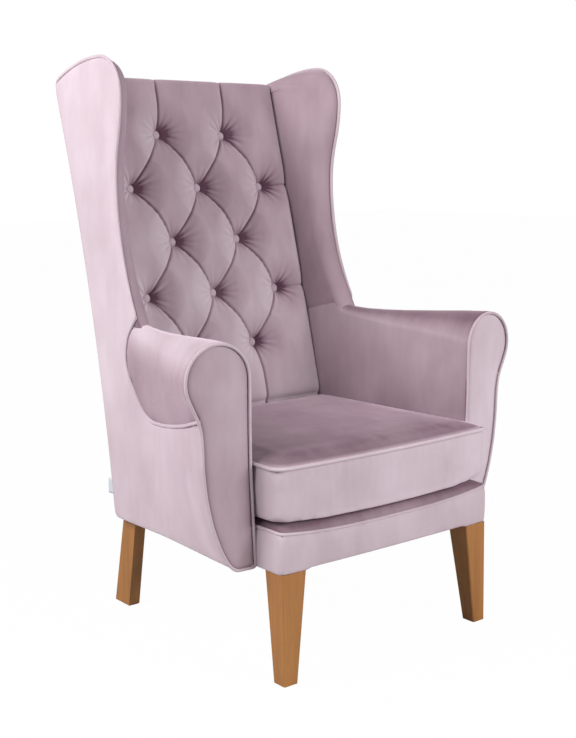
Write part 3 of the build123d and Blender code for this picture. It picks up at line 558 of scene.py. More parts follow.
def facing_outline(inset, count=140):
    """The facing's edge as (outward, up), from its inner foot over the scroll to its outer foot."""
    reach, centre_z = ROLL_RADIUS - inset, ARM_HEIGHT - ROLL_RADIUS
    angles = np.linspace(pi, -ROLL_LEAN, 60)
    scroll = np.stack([ROLL_RADIUS + reach * np.cos(angles), centre_z + reach * np.sin(angles)], axis=1)
    stem = flowing([scroll[-1], *(np.array(FACING_STEM) - [inset, 0])], 90, 3)
    inner = np.array(FACING_INNER) + [inset, 0]
    return resample(soften(resample(np.concatenate([inner, scroll, stem[1:]]), 4 * count), 6), count)


facing_edge = facing_outline(1.5)
outer_edge = facing_edge[np.argmax(facing_edge[:, 0]):]


def facing_reach(z):
    """How far outward the facing's outer edge lies at a height below the scroll."""
    return np.interp(-np.asarray(z, float), -outer_edge[:, 1], outer_edge[:, 0])


print("facing outline:", round(along(facing_edge)[-1]), "mm")

# %% [markdown]
# The outside panel is one sheet from the wing down to the hem. Behind, it lies flat on the chair's
# side. In front, under the roll, it flares out to the facing. Cloth draped over the frame would hang
# in folds that this tight panel doesn't have, so two grids that share an edge follow these two
# stretches and are welded. Its hem turns under, and a short rule says how the flare grows.

# %% Hem and flare
HEM_TURN = [(6.0, -9.0), (0.0, -5.0), (0.6, -1.4)]
PANEL_STEPS = 30
FLARE_SOFTNESS, FLARE_END, FLARE_ROUND, FLARE_END_Y = 0.16, 0.92, 0.004, ARM_FRONT_Y + 10.0
CORNER_RISE, CORNER_WIDTH, CORNER_HEIGHT = 10.0, 6.0, 26.0


def flare(share):
    """How far the panel has flared on its way to the facing: slow, then straight, then level."""
    soft = FLARE_SOFTNESS
    share = np.asarray(share) / FLARE_END
    share = share - 0.5 * (share - 1 + np.sqrt((share - 1) ** 2 + FLARE_ROUND))
    return (np.sqrt(share ** 2 + soft ** 2) - soft) / (np.sqrt(1 + soft ** 2) - soft)


def panel_heights(y, top):
    """Heights up the panel at one Y, the hem's turn first."""
    hem = hem_z(y)
    rises = np.concatenate([[rise for rise, _ in HEM_TURN], np.linspace(4.0, top - hem, PANEL_STEPS)])
    return hem + rises


def corner_rise(gap, z):
    """How far the hem lifts where it rounds into the rear seam."""
    near_hem = np.clip(1 - (z - LEG_HEIGHT + HEM_DROP) / CORNER_HEIGHT, 0, 1)
    return CORNER_RISE * np.exp(-np.abs(gap) / CORNER_WIDTH) * near_hem


turn_in = np.concatenate([[shift for _, shift in HEM_TURN], np.zeros(PANEL_STEPS)])
print("panel rows:", len(turn_in))

# %% [markdown]
# Both stretches start at the same column of points, so the weld between them is exact. The flat one
# fans out from the seam and the wing's edge to the rear line. Near a seam the cloth dips, so that the
# welt sits in a valley.

# %% Outside panels
SEAM_DIP, SEAM_WIDTH, REAR_DIP, REAR_WIDTH = 4.0, 5.0, 5.0, 3.5
# Heights on the rear line that face the seam's low end, the wing's foot, waist, ear and apex.
REAR_MEETS = (415.0, 600.0, 850.0, 1010.0, 1066.0)


def flared_panel():
    """The panel's front stretch, from the flat to the facing."""
    low_y = ROLL_SEAM_LOW[0]
    start = side_x(low_y)
    columns = []
    for share in eased(44):
        y_guess = low_y + share * (FLARE_END_Y - low_y)
        z = panel_heights(y_guess, roll_seam_z(y_guess))
        tip = arm_point(facing_reach(z) - 1.5, WELT_BEHIND + 1.5, z)
        y = low_y + share * (tip[:, 1] - low_y)
        dip = SEAM_DIP * np.exp(-np.abs(roll_seam_z(y_guess) - z) / SEAM_WIDTH)
        x = start + (tip[:, 0] - start) * flare(share) - 0.75 * dip + turn_in
        columns.append(np.stack([x, y, z], axis=1))
    return np.stack(columns, axis=1)


def flat_panel():
    """The panel's flat stretch, behind the roll and over the wing."""
    heights = panel_heights(ROLL_SEAM_LOW[0], ROLL_SEAM_LOW[1])
    shared = np.stack([np.full_like(heights, ROLL_SEAM_LOW[0]), heights], axis=1)
    wing = wing_line(WELT, 110)
    front = np.concatenate([shared, NOTCH[1:-1], wing])
    wing_start, last = len(front) - len(wing), len(front) - 1
    turning_heights = (WING_WAIST[1], WING_EAR[1], WING_HEIGHT - 4.0)
    turnings = [wing_start + np.argmin(np.abs(wing[:, 1] - z)) for z in turning_heights]
    hem = hem_z(REAR_FOOT_Y)
    marks = [0, len(shared) - 1, wing_start - 1, *turnings, last]
    rear_z = np.interp(np.arange(len(front)), marks, [hem, *REAR_MEETS, front[-1, 1]])
    way = (heights - heights[1]) / (heights[-1] - heights[1])
    rear_z[:len(shared)] = hem + way * (REAR_MEETS[0] - hem)
    rear = np.stack([rear_y(rear_z) - 0.3, rear_z], axis=1)
    shares = eased(46)
    flat = front[:, None, :] + (rear - front)[:, None, :] * shares[None, :, None]
    seam_gap = distance_to(flat, np.concatenate([NOTCH, wing]))
    rear_gap = (rear - front)[:, None, 0] * (1 - shares)[None, :]
    x = side_x(flat[..., 0]) - SEAM_DIP * np.exp(-seam_gap / SEAM_WIDTH)
    x -= REAR_DIP * np.exp(-np.abs(rear_gap) / REAR_WIDTH)
    x[:len(shared)] += turn_in[:, None]
    z = flat[..., 1] + corner_rise(rear_gap, flat[..., 1])
    return np.stack([x, flat[..., 0], z], axis=-1)


def panel_painted_light_and_shade(grid):
    """Painted light and shade on the panel: pale as lit, with painted shade where it flares under the roll.
    """
    by_height = np.interp(grid[..., 2], [220.0, 520.0, 1100.0], [0.76, 0.82, 0.80])
    return by_height - np.interp(grid[..., 1], [-290.0, -60.0], [0.10, 0.0])


both_sides("outside_panel", [flared_panel(), flat_panel()], (1, 0, 0), 3.0, nap=panel_painted_light_and_shade)

# %% [markdown]
# The side welt runs in one piece: from the facing along the seam under the roll, round the roll's
# end, up the wing's edge and over its top. It sits half sunk between panel and padding, so its path
# is the seam itself, a little inside the panel's face.

# %% Side welts
PROUD_INSET = 1.5
REAR_END = [(REAR_Y - 8.0, REAR_CORNER_Z - 8.0), (REAR_Y - 14.0, REAR_CORNER_Z - 17.0)]


def side_welt_path():
    """The welt's middle line on the right side."""
    low_y = ROLL_SEAM_LOW[0]
    under = UNDER_ROLL[UNDER_ROLL[:, 0] > ARM_FRONT_Y + 5.0][::-1]
    share = np.clip((low_y - under[:, 0]) / (low_y - FLARE_END_Y), 0, 1)
    reach = arm_point(facing_reach(under[:, 1]), WELT_BEHIND, under[:, 1])[:, 0]
    under_x = side_x(low_y) + (reach - side_x(low_y)) * flare(share) - 2.0
    wing = eased_wing_line(WELT + 0.5, PROUD_INSET, (4, 40), 170)
    rest = np.concatenate([NOTCH[1:-2], wing[:-2], REAR_END])
    last = len(rest) - 1
    sunk = np.interp(np.arange(len(rest)), [30, 60, last - 5, last], [1.0, 3.0, 3.0, 6.0])
    path = np.concatenate([
        np.column_stack([under_x, under]),
        np.column_stack([side_x(rest[:, 0]) - sunk, rest]),
    ])
    return soften(resample(path, 460), 16)


for side, turn in SIDES:
    make_welt(f"side_welt_{side}_cord", turn(side_welt_path()), f"side_welt_{side}", nap=0.76)

# %% [markdown]
# The inside of the wing is padding that wraps round the wing's edge. Seen in section it starts
# under the welt, crosses the edge in a soft elliptical round and runs flat to the back. Repeating
# that section along the wing's line gives a clean grid, which a sculpted or inflated shape would not.

# %% Wing padding
WING_FOOT_TUCK = [(44.0, 602.0), (46.0, 610.0), (50.0, 618.0), (57.0, 627.0)]
WING_REAR_TUCK = [(381.0, 1097.0), (378.0, 1088.0), (376.0, 1080.0)]
# Where the sections stop on the back, and how far along that line each turning of the edge stops.
WING_STOPS = np.array([(back_y(590.0, 10.0), 590.0), (back_y(1098.0, 10.0), 1098.0), (372.0, 1078.0)])
STOP_RUNS = [0, 298, 463, 523, 586, 600]
WING_ROUNDING = [22, 28, 42, 54, 36, 6, 3]
WING_TUCK, WING_BULGE, ARM_SEAM_STEP, ARM_SEAM_FALL = (34.0, 7.0), 2.5, 3.0, 0.278


def wing_padding():
    """Rows along the wing's edge; each row is one section, from the welt to the inside back."""
    edge_line = eased_wing_line(0.5, 4.0, (2, 28), 120)
    line = soften(np.concatenate([WING_FOOT_TUCK, edge_line, WING_REAR_TUCK]), 4)
    run = along(line)
    turnings = (WING_WAIST, WING_EAR, (WING_APEX_Y, WING_HEIGHT - 0.5), (REAR_Y, REAR_CORNER_Z))
    marks = [run[np.argmin(np.hypot(*(line - place).T))] for place in turnings]
    goal = np.interp(run, [0, *marks, run[-1]], STOP_RUNS)
    stop_line = at_runs(WING_STOPS, goal)
    rounding = np.interp(run, [0, marks[0] * 0.4, *marks, run[-1]], WING_ROUNDING)
    turn = np.linspace(0, pi / 2, 22)
    shares = np.linspace(0, 1, 34)[1:]
    rows = []
    for point, out, stop, depth_round, travelled in zip(line, left_of(line), stop_line, rounding, run):
        welt_x = side_x(point[0]) - WELT - 1.0
        tucked = np.interp(travelled, [0, 50], WING_TUCK)
        depth = np.concatenate([[tucked, 2.5], depth_round * (1 - np.cos(turn))])
        edge = point[None, :] - depth[:, None] * out[None, :]
        across = (welt_x - 1.5 - inner_x(edge[2:, 0])) * np.sin(turn)
        x = np.concatenate([[welt_x + 1.0, welt_x - 0.5], welt_x - 1.5 - across])
        face = edge[-1] + (stop - edge[-1])[None, :] * shares[:, None]
        bulge = WING_BULGE * np.sin(pi * np.minimum(shares * 1.15, 1.0)) * min(1.0, travelled / 120.0)
        arm_seam_z = WING_FOOT[1] - ARM_SEAM_FALL * (face[:, 0] - WING_FOOT[0])
        below_seam = np.clip((arm_seam_z - face[:, 1]) / 5.0 + 0.4, 0, 1)
        face_x = inner_x(face[:, 0]) - bulge + ARM_SEAM_STEP * below_seam
        rows.append(np.column_stack([np.concatenate([x, face_x]), np.concatenate([edge, face])]))
    return np.stack(rows)


def wing_painted_shade(grid):
    """Painted shade on the wing: an even tone, deep beside the welt."""
    seam_shade = np.exp(-np.maximum(np.arange(grid.shape[1]) - 1, 0) / 1.5)
    return np.broadcast_to(0.46 * (1 - 0.8 * seam_shade), grid.shape[:2])


both_sides("inside_wing", [wing_padding()], (-1, -0.6, 0.3), 4.0, nap=wing_painted_shade)

# %% [markdown]
# The arm's padding is a loft: a section with the full scroll at the facing, which narrows to a slim
# roll where it meets the wing. The crest dips a little between its ends, as stretched cloth does, and
# rises to the seam between arm and wing. Each section is a round whose shoulders grow squarer towards
# the rear, and it dips beside every seam.

# %% Arm sections
ROLL_END_Y, TAPER_SOFTNESS, ROLL_DEEPENS = 28.0, 0.004, 30.0
CREST = np.array([
    (-302, 632), (-240, 629), (-200, 626), (-150, 622.5), (-100, 619), (-50, 616.5), (0, 615.5),
    (40, 617), (60, 620.5), (70, 623), (84, 626), (100, 623), (190, 600),
], float)
ARM_FOOT_Z, INSIDE_HOLLOW = 284.0, 2.5
FRONT_DIP, FRONT_WIDTH = 3.0, 2.5
NOTCH_DIP, NOTCH_AHEAD, NOTCH_WIDTH = 7.0, 9.0, 11.0


def box_round(turn, squareness):
    """A half ring of unit radius whose shoulders grow squarer."""
    power = 2.0 / np.asarray(squareness)
    out, up = np.cos(turn), np.sin(turn)
    return np.sign(out) * np.abs(out) ** power, np.sign(up) * np.abs(up) ** power


def seam_reach(y):
    """X and height of the seam under the roll at one Y."""
    low_y = ROLL_SEAM_LOW[0]
    if y > low_y:
        lower = NOTCH[:np.argmax(NOTCH[:, 0])]
        return side_x(y), float(np.interp(y, lower[:, 0], lower[:, 1]))
    z = float(roll_seam_z(y))
    way = np.clip((low_y - y) / (low_y - FLARE_END_Y), 0, 1)
    tip = arm_point(facing_reach(z), WELT_BEHIND, z)[0]
    return side_x(low_y) + (tip - side_x(low_y)) * flare(way), z


def roll_section(y):
    """The round of the roll at one Y as (outward, up), with its radius and the seam under it."""
    share = (ROLL_END_Y - y) / (ROLL_END_Y - ARM_FRONT_Y)
    share = min(0.5 * (share + np.sqrt(share ** 2 + TAPER_SOFTNESS)), 1.0)
    slim = (side_x(y) - inner_x(y)) / 2
    radius = slim + (ROLL_RADIUS - slim) * share
    crest = np.interp(y, CREST[:, 0], CREST[:, 1])
    seam_x, seam_z = seam_reach(y)
    drop = min(ROLL_RADIUS + ROLL_DEEPENS * (1 - share), 0.8 * (crest - seam_z))
    turn = np.linspace(pi, -ROLL_LEAN, 52)
    inner_square = np.interp(y, [ROLL_END_Y + 34.0, ROLL_END_Y + 58.0], [2.0, 9.0])
    outer_square = np.interp(y, [-160.0, 50.0], [2.0, 4.2])
    out, up = box_round(turn, np.where(turn > pi / 2, inner_square, outer_square))
    tall = np.where(turn > pi / 2, radius, np.maximum(drop, radius))
    roll = np.stack([radius + radius * out, crest - tall + tall * up], axis=1)
    low_x = min((seam_x - inner_x(y)) * cos(SPLAY) - 3.0, 2 * radius)
    under = np.linspace(roll[-1], (low_x, min(seam_z, roll[-1, 1] - 1.0)), 14)[1:]
    return np.concatenate([roll, under]), np.array([radius, crest - radius])


def arm_section(behind):
    """One section of the arm as (outward, up), from the seat over the roll to the seam under it."""
    y = ARM_FRONT_Y + behind * cos(SPLAY)
    roll, middle = roll_section(y)
    inside = np.stack([np.zeros(22), np.linspace(ARM_FOOT_Z, roll[0, 1], 22)], axis=1)[:-1]
    section = np.concatenate([inside, roll])
    reach = np.maximum(np.linalg.norm(middle - section, axis=1), 1.0)[:, None]
    section += (middle - section) / reach * FRONT_DIP * np.exp(-(behind - WELT_BEHIND) / FRONT_WIDTH)
    notch_y = np.interp(section[:, 1], NOTCH[:, 1], NOTCH[:, 0])
    past_notch = np.clip((y + NOTCH_AHEAD - notch_y) / NOTCH_WIDTH, 0, 1)
    section[:, 0] -= NOTCH_DIP * past_notch * np.clip(section[:, 0] / middle[0] - 1, 0, 1)
    section[:, 0] -= INSIDE_HOLLOW * np.exp(-((section[:, 1] - 470.0) / 80.0) ** 2) * (section[:, 0] < 2.0)
    return section


print("arm section:", len(arm_section(WELT_BEHIND)), "points")

# %% [markdown]
# The sections stand closest where the shape changes fastest: right behind the facing and at the end of
# the roll. Light falls differently on each arm, so each arm has its own row of painted light and shade.

# %% Arm padding
def arm_padding():
    """Rows along the arm; each row is one section."""
    spread = [np.linspace(15.0, 296.0, 56), np.linspace(298.0, 420.0, 62), np.linspace(426.0, 478.0, 9)]
    steps = np.concatenate([WELT_BEHIND + np.array([0, 1, 2.5, 5, 9]), *spread])
    sections = [(behind, arm_section(behind)) for behind in steps]
    return np.stack([arm_point(section[:, 0], behind, section[:, 1]) for behind, section in sections])


# Painted light and shade across the arm, from the seat over the crest to the seam under the roll.
ARM_PLACES = [0, 0.28, 0.40, 0.50, 0.68, 0.78, 1.0]
LEFT_ARM_PAINTED_LIGHT = [0.25, 0.60, 0.62, 0.78, 0.76, 0.42, 0.36]
RIGHT_ARM_PAINTED_LIGHT = [0.25, 0.62, 0.20, 0.08, 0.40, 0.42, 0.42]


def arm_painted_light_and_shade(grid):
    """Painted light and shade on the arm: its own on each arm, and painted shade beside the seams."""
    place = np.linspace(0, 1, grid.shape[1])
    tone = np.interp(place, ARM_PLACES, LEFT_ARM_PAINTED_LIGHT if grid[0, 0, 0] < 0 else RIGHT_ARM_PAINTED_LIGHT)
    front_seam_shade = np.exp(-np.arange(len(grid)) / 1.6)[:, None]
    seam_gap = distance_to(grid[..., 1:], np.concatenate([UNDER_ROLL[::-1], NOTCH]))
    side_seam_shade = np.exp(-seam_gap / 4.0) * (place > 0.55)[None, :]
    return tone[None, :] * (1 - 0.8 * np.maximum(front_seam_shade, side_seam_shade))


both_sides("inside_arm", [arm_padding()], (0.2, 0, 1), 4.0, nap=arm_painted_light_and_shade)

# %% [markdown]
# The facing is a thin pad behind the welt, fullest along its middle. Rings that shrink to a spine
# would pinch at its ends. A grid between the inner and the outer edge stays even, and the distance
# to the outline says how far each point stands forward or tucks in behind the welt.

# %% Arm facings and their welts
FACING_GROOVE, GROOVE_WIDTH, FACING_CROWN, CROWN_WIDTH = 7.0, 2.6, 1.4, 22.0


def facing_ring(inset, count=150):
    """The facing's whole outline with its foot closed and its corners rounded."""
    edge = facing_outline(inset, count)
    foot = np.linspace(edge[-1], edge[0], 18)[1:-1]
    return soften_ring(np.concatenate([edge, foot]), 5)


def facing_pad():
    """Rows from the foot to the crest, each from the inner edge to the outer edge."""
    ring = facing_ring(WELT + 0.8, 300)
    crest, foot = np.argmax(ring[:, 1]), len(ring) - 8
    inner = np.concatenate([ring[foot:], ring[:crest + 1]])
    outer = ring[crest:foot + 1][::-1]
    spread = [np.linspace(0, 0.06, 8), np.linspace(0.07, 0.92, 80), np.linspace(0.93, 1.0, 24)]
    levels = np.concatenate(spread)
    left, right = (at_runs(edge, levels * along(edge)[-1]) for edge in (inner, outer))
    points = left[:, None, :] + (right - left)[:, None, :] * eased(34)[None, :, None]
    gap = distance_to(points, ring)
    groove = FACING_GROOVE * np.exp(-gap / GROOVE_WIDTH)
    front = WELT_BEHIND + groove - FACING_CROWN * (1 - np.exp(-gap / CROWN_WIDTH))
    return arm_point(points[..., 0], front, points[..., 1])


def facing_welt_path():
    """The middle line of the welt round the right facing."""
    ring = facing_ring(WELT, 220)
    return arm_point(ring[:, 0], WELT_BEHIND, ring[:, 1])


def facing_painted_light_and_shade(grid):
    """Painted light and shade on a facing: painted light on the right-hand one, darker low on the left-hand
    one, and painted shade where the cloth turns in at the seam.
    """
    tone = 0.86 if grid[0, 0, 0] > 0 else np.interp(grid[..., 2], [220.0, 420.0], [0.50, 0.59])
    to_edge = np.minimum(eased(grid.shape[1]), 1 - eased(grid.shape[1]))
    return np.broadcast_to(tone * (1 - 0.9 * np.exp(-to_edge / 0.04)), grid.shape[:2])


both_sides("arm_facing", [facing_pad()], (0, -1, 0), 4.0, nap=facing_painted_light_and_shade)
for side, turn in SIDES:
    make_welt(f"facing_welt_{side}_cord", turn(facing_welt_path()), f"facing_welt_{side}",
              closed=True, nap=0.74, radius=3.0)

# %% [markdown]
# The border is the band round the front of the seat box. A plan line runs from one arm round the
# front to the other, and a gently puffed profile follows it. Its welt lies along the top edge, which
# sags between the corners because the deck behind it is soft.

# %% Front border
BORDER_HALF, BORDER_FRONT, BORDER_BOW, BORDER_CORNER, BORDER_TOP = 272.0, -373.0, 5.0, 12.0, 285.0
BORDER_SAG, HEM_ARCH = 13.0, 3.0
BORDER_PROFILE = [(-9.0, 217.0), (-6.0, 210.5), (-2.0, 209.6), (0.0, 213.0), (0.9, 225.0), (1.3, 243.0),
                  (0.9, 266.0), (0.0, 277.0), (-2.2, 283.4), (-5.0, 285.5)]


def border_line(inset, count=240):
    """The border's line in plan, from the left arm round the front to the right arm."""
    half, front, end = BORDER_HALF - inset, BORDER_FRONT + inset, ARM_FRONT_Y + 24.0
    radius = BORDER_CORNER - inset
    turn = np.linspace(0, pi / 2, 10)
    left = np.stack([-half + radius * (1 - np.cos(turn)), front + radius * (1 - np.sin(turn))], axis=1)
    bow_x = np.linspace(-half + radius, half - radius, 60)
    bow = np.stack([bow_x, front - BORDER_BOW * (1 - (bow_x / (half - radius)) ** 2)], axis=1)
    tucked = np.array([(-half - 5.0, end), (-half, end - 26.0)])
    run = [tucked, left, bow[1:-1], left[::-1] * [-1, 1], tucked[::-1] * [-1, 1]]
    return resample(np.concatenate(run), count)


def border_sag(x):
    """How far the border's top edge drops between the corners."""
    return BORDER_SAG * np.clip(1 - (np.abs(x) / BORDER_HALF) ** 3, 0, 1)


def border_grid():
    """The profile carried along the plan line."""
    line = border_line(0)
    outward = -left_of(line)
    fine = resample(np.array(BORDER_PROFILE), 26)
    low, high = fine[:, 1].min(), fine[:, 1].max()
    between_legs = np.clip((BORDER_HALF - 62.0 - np.abs(line[:, 0])) / 12.0, 0, 1)
    rows = []
    for out, z in fine:
        rise = (z - low) / (high - low)
        arch = HEM_ARCH * between_legs * (1 - rise)
        rows.append(np.column_stack([line + outward * out, z + arch - border_sag(line[:, 0]) * rise]))
    return np.stack(rows)


border = thicken(grid_mesh("front_border_cover", [border_grid()], (0, -1, 0), nap=0.76), 3.0)
settle(border, "front_border")
border_top_line = border_line(WELT - 0.5)
border_top_z = BORDER_TOP + 1.6 - border_sag(border_top_line[:, 0])
border_welt_path = np.column_stack([border_top_line, border_top_z])
make_welt("border_welt_cord", border_welt_path, "border_welt", nap=0.74, radius=2.8)

# %% [markdown]
# The deck is the padded platform under the cushion. It shows as a sliver in the shadow below the
# cushion, and in full once the cushion is lifted off, so it gets soft edges and a slight crown. It
# is tight over its springs, so a grid with a rounded rim is enough.

# %% Seat deck
DECK_HALF, DECK_FRONT, DECK_ROLL, DECK_TUCK = 267.0, -370.0, 6.5, 20.0
FRONT_SAG, SAG_LENGTH = 3.0, 60.0


def front_sag(x, y):
    """How far cushion and deck sink at the middle of the front."""
    near_front = np.exp(-np.maximum(y - FRONT_Y, 0) / SAG_LENGTH)
    return FRONT_SAG * np.clip(1 - (x / DECK_HALF) ** 2, 0, 1) * near_front


def deck_half(y):
    """Half the deck's width: the border's in front, then as wide as the arms allow."""
    between = inner_x(y) - 1.5
    return np.interp(y, [ARM_FRONT_Y - 4.0, ARM_FRONT_Y + 30.0], [min(DECK_HALF, between), between])


def deck_grid():
    """The deck's top and its edges, from side to side."""
    rear = back_y(DECK_TOP) + DECK_TUCK
    shares_x = 2 * eased(80) - 1
    rows = []
    for share_y in eased(70):
        y = DECK_FRONT + (rear - DECK_FRONT) * share_y
        half = deck_half(y)
        side_gap, end_gap = (1 - np.abs(shares_x)) * half, min(y - DECK_FRONT, rear - y)
        gap = side_gap * end_gap / np.maximum(np.hypot(side_gap, end_gap), 1e-6)
        edge_z = BORDER_TOP - 2.5 - border_sag(shares_x * DECK_HALF) * np.exp(-(y - DECK_FRONT) / 40.0)
        rise = DECK_TOP - 1.0 - front_sag(shares_x * DECK_HALF, y) - edge_z
        z = edge_z + rise * (1 - np.exp(-gap / DECK_ROLL))
        bow = BORDER_BOW * (1 - shares_x ** 2) * (1 - share_y)
        rows.append(np.column_stack([shares_x * half, y - bow, z]))
    return np.stack(rows)


def deck_painted_light_and_shade(grid):
    """Painted shade on the deck under the cushion, and painted light over its front edge."""
    return np.interp(grid[..., 1], [DECK_FRONT - 5.0, DECK_FRONT + 6.0], [0.42, 0.12])


deck = thicken(grid_mesh("seat_deck_cover", [deck_grid()], (0, 0, 1), nap=deck_painted_light_and_shade), 2.5)
settle(deck, "seat_deck")
print("deck at", DECK_TOP, "mm")

# %% [markdown]
# The seat cushion is a foam block in a sewn case, so it is tight, crowned and a little plump at the
# sides. Its case is drawn first, a few millimetres small, as rings from its foot to its crown. The
# stiff front corners stand a little off the deck.

# %% Cushion case
CUSHION_BOW, CUSHION_GAP, CORNER_PASSES = 12.0, 3.0, 44
# Heights up the case and how far the outline is drawn in at each.
CUSHION_LEVELS = [
    (299.6, 40.0), (299.6, 24.0), (299.7, 11.0), (300.6, 6.0), (303.5, 3.2), (310.0, 2.0), (330.0, 1.6),
    (350.0, 1.5), (375.0, 2.0), (392.0, 4.0), (400.0, 6.0), (CUSHION_SEAM_Z, 7.0), (407.0, 9.0),
    (411.5, 20.0), (415.5, 45.0), (418.5, 85.0), (420.2, 140.0),
]
CORNER_LIFT = 9.0


def cushion_plan(inset, z, count=260):
    """The cushion's outline at a height, as a closed ring of points."""
    front = FRONT_Y + CUSHION_BOW + inset
    rear = back_y(min(z, CUSHION_SEAM_Z)) - 3.0 - inset
    half_front = inner_x(front) - CUSHION_GAP - inset
    half_rear = inner_x(rear) - CUSHION_GAP - inset
    bow_x = np.linspace(-half_front, half_front, 41)
    bow = np.stack([bow_x, front - CUSHION_BOW * (1 - (bow_x / half_front) ** 2)], axis=1)
    ring = np.concatenate([bow, [(half_rear, rear), (-half_rear, rear), tuple(bow[0])]])
    return soften_ring(resample(ring, 2 * count + 1)[:-1], CORNER_PASSES)[::2]


def corner_lift(plan, z):
    """How far the stiff front corners stand off the deck."""
    near_front = np.exp(-np.maximum(plan[:, 1] - FRONT_Y, 0) / SAG_LENGTH)
    lift = CORNER_LIFT * (np.abs(plan[:, 0]) / ARM_INNER_X) ** 4 * near_front
    return (lift - front_sag(plan[:, 0], plan[:, 1])) * np.clip((340.0 - z) / 40.0, 0, 1)


def cushion_rings():
    """Rings of points up the case."""
    plans = [(cushion_plan(inset, z), z) for z, inset in CUSHION_LEVELS]
    return [np.column_stack([plan, z + corner_lift(plan, z)]) for plan, z in plans]


def ring_mesh(name, rings):
    """A closed smooth mesh through rings of points in millimetres, capped at both ends."""
    shape = bmesh.new()
    loops = [[shape.verts.new(point * MM) for point in ring] for ring in rings]
    for low, high in zip(loops[:-1], loops[1:]):
        for here in range(len(low)):
            after = (here + 1) % len(low)
            shape.faces.new((low[here], low[after], high[after], high[here]))
    shape.faces.new(loops[0][::-1])
    shape.faces.new(loops[-1])
    bmesh.ops.remove_doubles(shape, verts=shape.verts, dist=0.00002)
    bmesh.ops.recalc_face_normals(shape, faces=shape.faces)
    mesh = bpy.data.meshes.new(name)
    shape.to_mesh(mesh)
    shape.free()
    mesh.shade_smooth()
    return add_object(name, mesh)


cushion = ring_mesh("seat_cushion_cover", cushion_rings())
print("cushion case:", len(CUSHION_LEVELS), "rings")

# %% [markdown]
# The filling presses the case outwards. The case is remeshed evenly and blown up with cloth pressure,
# and the swell is capped. The seam keeps its place, because the welt holds it there. Puckers under
# the welt and shallow dents on the seat come last, as small moves of the finished points.

# %% Swell the cushion
SWELL_FRAMES, SWELL_PRESSURE, SWELL_MOST = 20, 4.0, 5.0
SEAM_HOLD, SEAM_RELEASE, FOOT_HELD_Z = 8.0, 40.0, 304.0
PUCKER, DENTS = 0.55, ((1.6, -70.0, -120.0, 95.0, 80.0), (1.2, 110.0, -60.0, 80.0, 70.0))


def blow_up(piece):
    """Let cloth pressure swell a closed mesh; returns its points before and after."""
    count = len(piece.data.vertices)
    before, after = np.empty(count * 3), np.empty(count * 3)
    piece.data.vertices.foreach_get("co", before)
    cloth = piece.modifiers.new("blow_up", "CLOTH")
    cloth.settings.use_pressure = True
    cloth.settings.uniform_pressure_force = SWELL_PRESSURE
    cloth.settings.effector_weights.gravity = 0.0
    cloth.settings.tension_stiffness = 25.0
    cloth.settings.compression_stiffness = 25.0
    cloth.settings.bending_stiffness = 2.0
    cloth.point_cache.frame_start, cloth.point_cache.frame_end = 1, SWELL_FRAMES
    for step in range(1, SWELL_FRAMES + 1):
        bpy.context.scene.frame_set(step)
    ready = piece.evaluated_get(bpy.context.evaluated_depsgraph_get())
    ready.data.vertices.foreach_get("co", after)
    piece.modifiers.clear()
    bpy.context.scene.frame_set(1)
    return before.reshape(-1, 3), after.reshape(-1, 3)


def capped_swell(start, swollen):
    """The swell, held at the seam and the foot and nowhere more than the most."""
    move = swollen - start
    length = np.linalg.norm(move, axis=1)
    off_ring = np.maximum(distance_to(start[:, :2] / MM, cushion_plan(7.0, CUSHION_SEAM_Z)) - 4.0, 0)
    from_seam = np.abs(start[:, 2] / MM - CUSHION_SEAM_Z) + off_ring
    most = SWELL_MOST * MM * np.clip((from_seam - SEAM_HOLD) / SEAM_RELEASE, 0, 1)
    most = np.where(start[:, 2] < FOOT_HELD_Z * MM, 0.0, most)
    return move * (np.minimum(length, most) / np.maximum(length, 1e-9))[:, None]


def wrinkled(points):
    """The finished cushion's points with puckers under the welt and shallow dents on the seat."""
    x, y, z = (points / MM).T
    under_welt = np.exp(-((z - (CUSHION_SEAM_Z - 14.0)) / 13.0) ** 2)
    pucker = PUCKER * under_welt * np.sin(0.33 * (x + 0.4 * y) + 2.0 * np.sin(0.021 * x))
    dent = np.zeros_like(x)
    for depth, dent_x, dent_y, wide, long in DENTS:
        dent -= depth * np.exp(-(((x - dent_x) / wide) ** 2 + ((y - dent_y) / long) ** 2))
    at_front = y < FRONT_Y + 60.0
    sideways, forwards = np.sign(x) * pucker * ~at_front, pucker * at_front
    moved = np.column_stack([sideways, forwards, dent * (z > CUSHION_SEAM_Z)])
    return points + moved * MM


remesh = cushion.modifiers.new("even_faces", "REMESH")
remesh.mode, remesh.voxel_size = "VOXEL", 0.006
baked(cushion)
start, swollen = blow_up(cushion)
move = capped_swell(start, swollen)
cushion.data.vertices.foreach_set("co", wrinkled(start + move).ravel())
print("cushion swelled by up to", round(float(np.max(np.linalg.norm(move, axis=1))) / MM, 1), "mm")
finer = cushion.modifiers.new("finer", "SUBSURF")
finer.levels = finer.render_levels = 1
baked(cushion)

# %% [markdown]
# The seat's top gets painted shade and its sides painted light. The tone changes at the seam,
# and the welt covers the change.

# %% Cushion velvet and welt
def cushion_painted_light_and_shade(points):
    """Painted light and shade on the cushion: pale sides a little paler to the right, a deep top deeper to
    the right.
    """
    up = np.clip((points[:, 2] - CUSHION_SEAM_Z) / 6.0, 0, 1)
    to_right = points[:, 0] / ARM_INNER_X
    return 0.79 + 0.06 * to_right - (0.66 + 0.14 * to_right) * up


